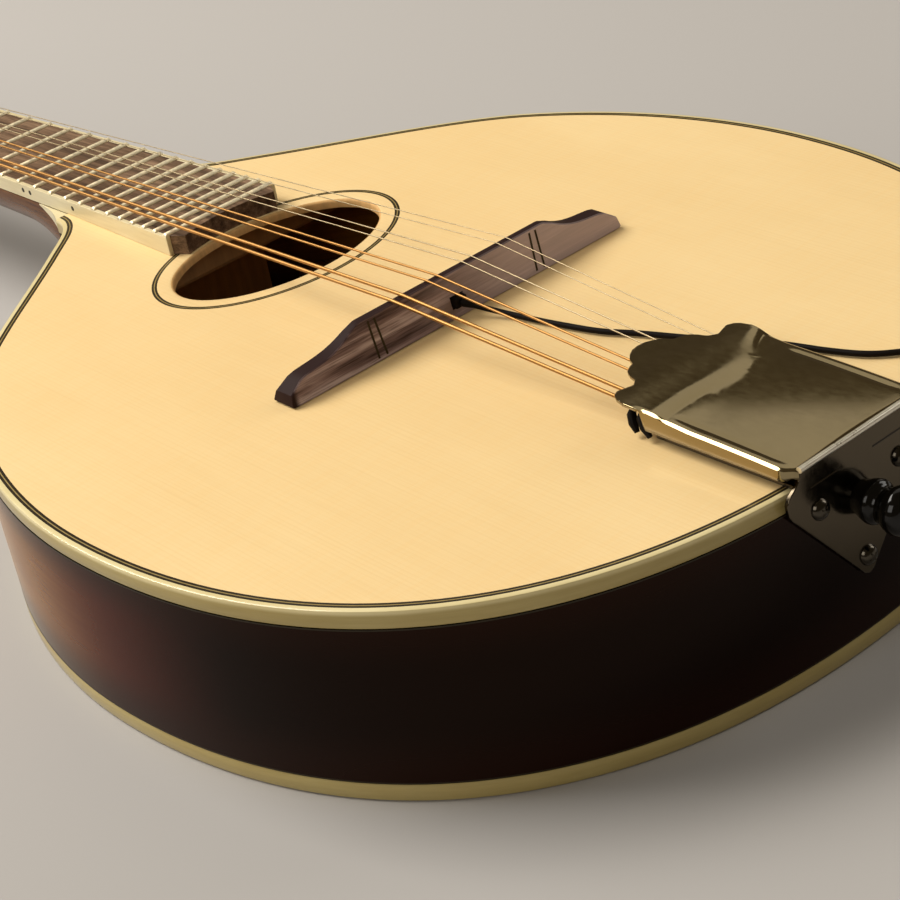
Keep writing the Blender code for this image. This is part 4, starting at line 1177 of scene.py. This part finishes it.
def build_lead(looks):
    route, length = smooth_route([(x, y, TOP * MM + z) for x, y, z in LEAD_ROUTE], 120)
    curve = bpy.data.curves.new("pickup_cable", "CURVE")
    curve.dimensions = "3D"
    curve.bevel_depth = LEAD_D / 2
    curve.bevel_resolution = 4
    curve.use_fill_caps = True
    spline = curve.splines.new("POLY")
    spline.points.add(len(route) - 1)
    for point, spot in zip(spline.points, route):
        point.co = (*spot, 1.0)
    curve.materials.append(looks.rubber)
    cable = linked("pickup_cable", curve)
    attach(cable, "body")
    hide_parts("pickup_lead")
    out = (route[4] - route[0]).normalized()
    place = Matrix.Translation(route[0] / MM) @ out.to_track_quat("Z", "Y").to_matrix().to_4x4()
    profile = ((0.0, -0.6), (1.15, -0.6), (1.2, 0.1), (1.1, 1.2), (0.95, 2.2), (0.8, 2.9))
    relief = piece("lead_relief", lathe(profile, place, 20), looks.rubber)
    low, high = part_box("bridge_pickup")
    piece("pickup_plug", block((high - low) / MM, at(*(high + low) / 2 / MM)), looks.rubber,
          replaces="bridge_pickup", bevel=0.5)


def build_jack(looks):
    """A round jack in a clip on the treble side of the tail, outside the usual view."""
    index = min(range(len(OUTLINE)), key=lambda i: abs(OUTLINE[i].x - 59.0) + (OUTLINE[i].y > 0) * 999)
    normal = NORMALS[index]
    centre = OUTLINE[index] + normal * 8.6
    place = at(centre.x, centre.y, TOP - 27.0)
    place = place @ turned(math.degrees(math.atan2(normal.y, normal.x)) + 90, "Z")
    profile = [(0.0, 15.0), (3.2, 15.0), (3.2, 14.0), (5.6, 14.0), (6.2, 13.4)]
    for z in (12.8 - 0.8 * k for k in range(12)):
        profile += [(6.2, z), (6.45, z - 0.2), (6.45, z - 0.5), (6.2, z - 0.7)]
    profile += [(6.2, 2.0), (5.9, 1.6), (5.9, -9.0), (6.4, -9.4), (6.4, -14.2), (5.8, -15.0), (0.0, -15.0)]
    shape = lathe(profile, place @ turned(90, "Y"), 40)
    lathe(((0.0, 13.4), (1.6, 13.4), (2.6, 12.6), (2.6, 4.0)), place, 24, shape)
    piece("jack_barrel", shape, looks.nickel, replaces="jack")
    piece("jack_clip", block((18.0, 3.9, 16.0), place @ at(0.0, 6.0, 0.0)), looks.rubber,
          bevel=0.8)


# --- tailpiece


# The cover's scalloped front, from the centre lobe to the treble ear.
FRONT_LINE = ((0.0, -81.2), (2.2, -81.5), (4.4, -82.8), (6.2, -84.6), (7.0, -86.6), (8.8, -87.2),
              (10.8, -88.4), (12.0, -90.6), (12.6, -93.0), (14.9, -94.7), (17.2, -93.9),
              (19.2, -93.3), (20.9, -94.2), (22.0, -96.0), (22.4, -98.4))


def ease(value, low, high):
    part = min(1.0, max(0.0, (value - low) / (high - low)))
    return part * part * (3 - 2 * part)


def along_marks(marks, value):
    """Read a value between (place, value) marks."""
    for (a, low), (b, high) in zip(marks, marks[1:]):
        if value <= b:
            return low + (high - low) * (value - a) / (b - a)
    return marks[-1][1]


# The foot and the head of the swept step across the cover, as (x, y) marks.
STEP_FOOT = smooth_line(((-22.6, -112.0), (-16.0, -111.4), (-10.0, -111.2), (-3.5, -112.0),
                         (3.5, -112.6), (9.0, -111.2), (13.7, -108.4), (18.0, -105.4),
                         (22.6, -103.0)), 600)
STEP_HEAD = smooth_line(((-22.6, -106.4), (-11.6, -105.8), (-3.2, -106.0), (5.1, -104.8),
                         (11.4, -102.6), (18.6, -100.0), (22.6, -99.2)), 600)


def cover_height(x, y, foot, head):
    """The cover's outer surface: a sloping back, a step up to the front, ribs and shoulders."""
    away = abs(x)
    back = max(0.0, (-110.0 - y) / (-110.0 - COVER_REAR))
    crown = COVER_CROWN * ease(y, foot, foot - 9.0)
    z = TOP + COVER_Z + COVER_SLOPE * (1 - back * back) - crown * (x / COVER_HALF) ** 2
    part = (y - foot) / (head - foot)
    part = min(1.0, 0.5 * (part + math.sqrt(part * part + 0.004)))
    z += COVER_STEP * (1 - (1 - part) ** 2)
    z += 0.2 * ease(y, -106.0, -95.0)
    rib = math.exp(-((away - 19.4) / 0.8) ** 2)
    z -= 0.22 * rib * ease(y, -112.0, -117.0) * ease(y, -150.0, -144.0)
    z -= 0.5 * ease(away, 21.6, COVER_HALF) * ease(y, -102.5, -106.0)
    return z


def build_cover(looks):
    """One sheet: columns across the front, folded down into a short skirt at each side."""
    columns = []
    for part in (k / 48 for k in range(-48, 49)):
        columns.append((COVER_HALF * (0.35 * math.sin(math.pi / 2 * part) + 0.65 * part), 0.0))
    skirt = [(22.6, 0.35), (22.6, 0.7), (22.6, 1.0)]
    columns = [(-x, d) for x, d in skirt[::-1]] + columns + skirt
    lines = [(x, down, along_marks(STEP_FOOT, x), along_marks(STEP_HEAD, x),
              along_marks(FRONT_LINE, abs(x))) for x, down in columns]
    steps = [0.60 * k / 24 for k in range(24)] + [0.60 + 0.24 * k / 56 for k in range(56)]
    rings = []
    for part in steps + [0.84 + 0.16 * k / 16 for k in range(17)]:
        ring = []
        for x, down, foot, head, front in lines:
            y = COVER_REAR + (front - COVER_REAR) * part
            narrow = 1.0 - 0.11 * ease(y, COVER_REAR + 5.0, COVER_REAR) ** 2
            z = cover_height(x, y, foot, head)
            low = TOP + 3.8 + 0.6 * ease(y, COVER_REAR + 4.0, COVER_REAR)
            z -= down * ease(y, -103.6, -105.4) * (z - low)
            ring.append((x * narrow, y, z))
        rings.append(ring)
    made = piece("cloud_cover", skin(rings, caps=False, closed=False), looks.nickel, "cover",
                 "tailpiece_cover", 45.0)
    thick = made.modifiers.new("Sheet", "SOLIDIFY")
    thick.thickness = 0.9 * MM
    thick.offset = -1.0
    thick.use_quality_normals = True
    bead = [(-20.0 + 2.0 * k, COVER_REAR - 0.1, TOP + COVER_Z - 0.55) for k in range(21)]
    # The fold's bead takes the brighter nickel as a painted highlight.
    piece("cover_fold", tube(bead, 0.8, 14), looks.bright, "cover")


def tail_plate_loop():
    half = ((19.0, TAIL_RISE), (19.4, 3.3), (21.2, 1.6), (23.3, 0.2), (24.0, -1.4), (23.8, -4.2),
            (22.9, -5.9), (21.2, -7.8), (3.2, -29.6), (1.7, -31.6), (0.0, -32.4))
    half = [(x, TOP + z) for x, z in half]
    return half + mirrored(half[:-1])[::-1]


def build_tail_plate(looks):
    turn = at(0.0, TAIL_PLATE_Y, 0.0) @ turned(90, "X")
    plate = slab([tail_plate_loop(), ellipse(3.6, 3.6, PIN_Z, 40)], 0.0, 1.2, turn)
    # The plate's darker nickel is painted shade.
    piece("tail_plate", plate, looks.satin, replaces="tailpiece_base", bevel=0.3)
    piece("tail_floor", block((39.4, 45.0, 1.2), at(0.0, TAIL_PLATE_Y + 22.0, TOP + 0.9)),
          looks.satin, bevel=0.3)
    hooks = bmesh.new()
    for x in (course_x(index, HOOK_SPREAD, HOOK_PAIR) for index in range(8)):
        line = [(x, HOOK_Y - back, TOP + 1.2 + rise) for back, rise in
                ((0.0, 0.0), (0.0, 2.0), (0.1, 3.2), (0.7, 4.0), (1.5, 4.2))]
        tube(line, [0.85, 0.85, 0.8, 0.7, 0.45], 12, hooks)
    piece("string_hooks", hooks, looks.nickel)
    prongs = bmesh.new()
    slots = bmesh.new()
    for side, _ in SIDES:
        for near, far in ((-98.4, -101.2), (-101.6, -105.6)):
            line = [(side * 19.4, near, TOP + 6.4), (side * 20.4, near - 0.4, TOP + 5.2),
                    (side * 21.2, (near + far) / 2, TOP + 3.4), (side * 21.6, far, TOP + 1.6)]
            tube(line, [0.7, 1.25, 1.2, 0.7], 10, prongs)
        block((11.0, 0.5, 0.45), at(side * 10.7, TAIL_PLATE_Y - 1.0, TOP - 0.2), slots)
    piece("cover_prongs", prongs, looks.rubber, "cover")
    piece("string_damper", block((36.0, 6.0, 2.0), at(0.0, -110.5, TOP + 2.6)), looks.felt,
          bevel=0.6)
    # Black strips on the plate stand for slots: painted shade.
    piece("plate_slots", slots, looks.black_line)


def build_end_pin(looks):
    turn = at(0.0, TAIL_PLATE_Y - 1.25, PIN_Z) @ turned(90, "X")
    profile = smooth_line(((0.0, 15.2), (2.4, 15.1), (4.4, 14.5), (5.7, 13.2), (6.1, 11.4), (5.6, 9.7),
                           (4.6, 8.3), (4.2, 7.2), (4.5, 6.2), (5.3, 5.4), (5.6, 4.3), (5.3, 2.9),
                           (4.6, 1.1), (4.3, 0.0)), 60)
    piece("strap_button", lathe(profile + [(3.3, 0.0), (3.3, -3.0)], turn, 56), looks.pin,
          replaces="end_pin")


def build_screws(looks):
    """Domed heads, each with two dark bars laid across it: painted shade standing for a cross recess."""
    for number, (x, z) in enumerate(SCREWS, 1):
        turn = at(x, TAIL_PLATE_Y - 1.22, z) @ turned(90, "X")
        profile = ((0.0, 1.7), (0.8, 1.66), (1.5, 1.45), (2.1, 1.1), (2.5, 0.6), (2.7, 0.0))
        piece(f"tail_screw_{number}", lathe(profile, turn, 36), looks.screw,
              replaces=f"tailpiece_screw_{number}")
        # The dark cross is painted shade, not a cut.
        cross = bmesh.new()
        spin = turned(20 + 33 * number, "Z")
        for size in ((2.5, 0.4, 0.5), (0.4, 2.5, 0.5)):
            block(size, turn @ spin @ at(0.0, 0.0, 1.42), cross)
        piece(f"screw_cross_{number}", cross, looks.black_line)


# --- stage


def build_stage():
    """A plain floor, six metres square."""
    size = 3.0 / MM
    shape = skin([[(-size, y, 0.0), (size, y, 0.0)] for y in (-size, size)], caps=False, closed=False)
    paint = Paint("FloorPaint", (0.44, 0.425, 0.41), 0.85)
    floor = linked("floor", meshed("floor", shape, [paint.made]))
    floor.location.z = cad_low.z - 0.0002


def add_light(name, spot, size, power, colour):
    lamp = bpy.data.lights.new(name, "AREA")
    lamp.shape = "RECTANGLE"
    lamp.size, lamp.size_y = size
    lamp.energy = power
    lamp.color = colour
    made = linked(name, lamp)
    made.location = spot
    ahead = Vector((0.0, 0.0, 0.05)) - Vector(spot)
    made.rotation_euler = ahead.to_track_quat("-Z", "Y").to_euler()


def build_lights():
    world = bpy.data.worlds.new("Studio")
    bpy.context.scene.world = world
    world.use_nodes = True
    ground = world.node_tree.nodes["Background"]
    ground.inputs["Color"].default_value = (1.0, 0.80, 0.52, 1.0)
    ground.inputs["Strength"].default_value = 0.11
    bpy.context.scene.view_settings.view_transform = "Standard"
    add_light("key", (-0.6, 1.2, 1.6), (1.2, 1.2), 51.0, (1.0, 0.95, 0.88))
    add_light("overhead", (0.75, 0.85, 1.5), (1.2, 1.2), 2.8, (1.0, 0.95, 0.85))
    add_light("fill", (-1.7, -0.3, 1.1), (1.2, 1.0), 10.0, (1.0, 0.96, 0.90))
    add_light("rim", (1.7, -0.6, 0.9), (0.8, 1.0), 8.0, (1.0, 0.97, 0.92))


def build_camera():
    """Low over the bass side of the tail, looking up along the strings."""
    ahead = Vector((0.5046, 0.7126, -0.4874)).normalized()
    right = Vector((0.7424, -0.6463, -0.1763)).normalized()
    camera = bpy.data.cameras.new("camera")
    camera.sensor_width = 36.0
    camera.lens = 97.53
    camera.clip_start = 0.01
    made = linked("camera", camera)
    turn = Matrix((right, right.cross(ahead), -ahead)).transposed().to_4x4()
    made.matrix_world = at(-0.35069, -0.48861, 0.34335) @ turn
    bpy.context.scene.camera = made


looks = Palette()
build_stage()
build_lights()
build_camera()
for build in (build_top, build_sides, build_inside, build_fingerboard, build_neck, build_returns,
              build_headstock, build_tuners, build_strings, build_bridge, build_lead, build_jack,
              build_cover, build_tail_plate, build_end_pin, build_screws):
    build(looks)
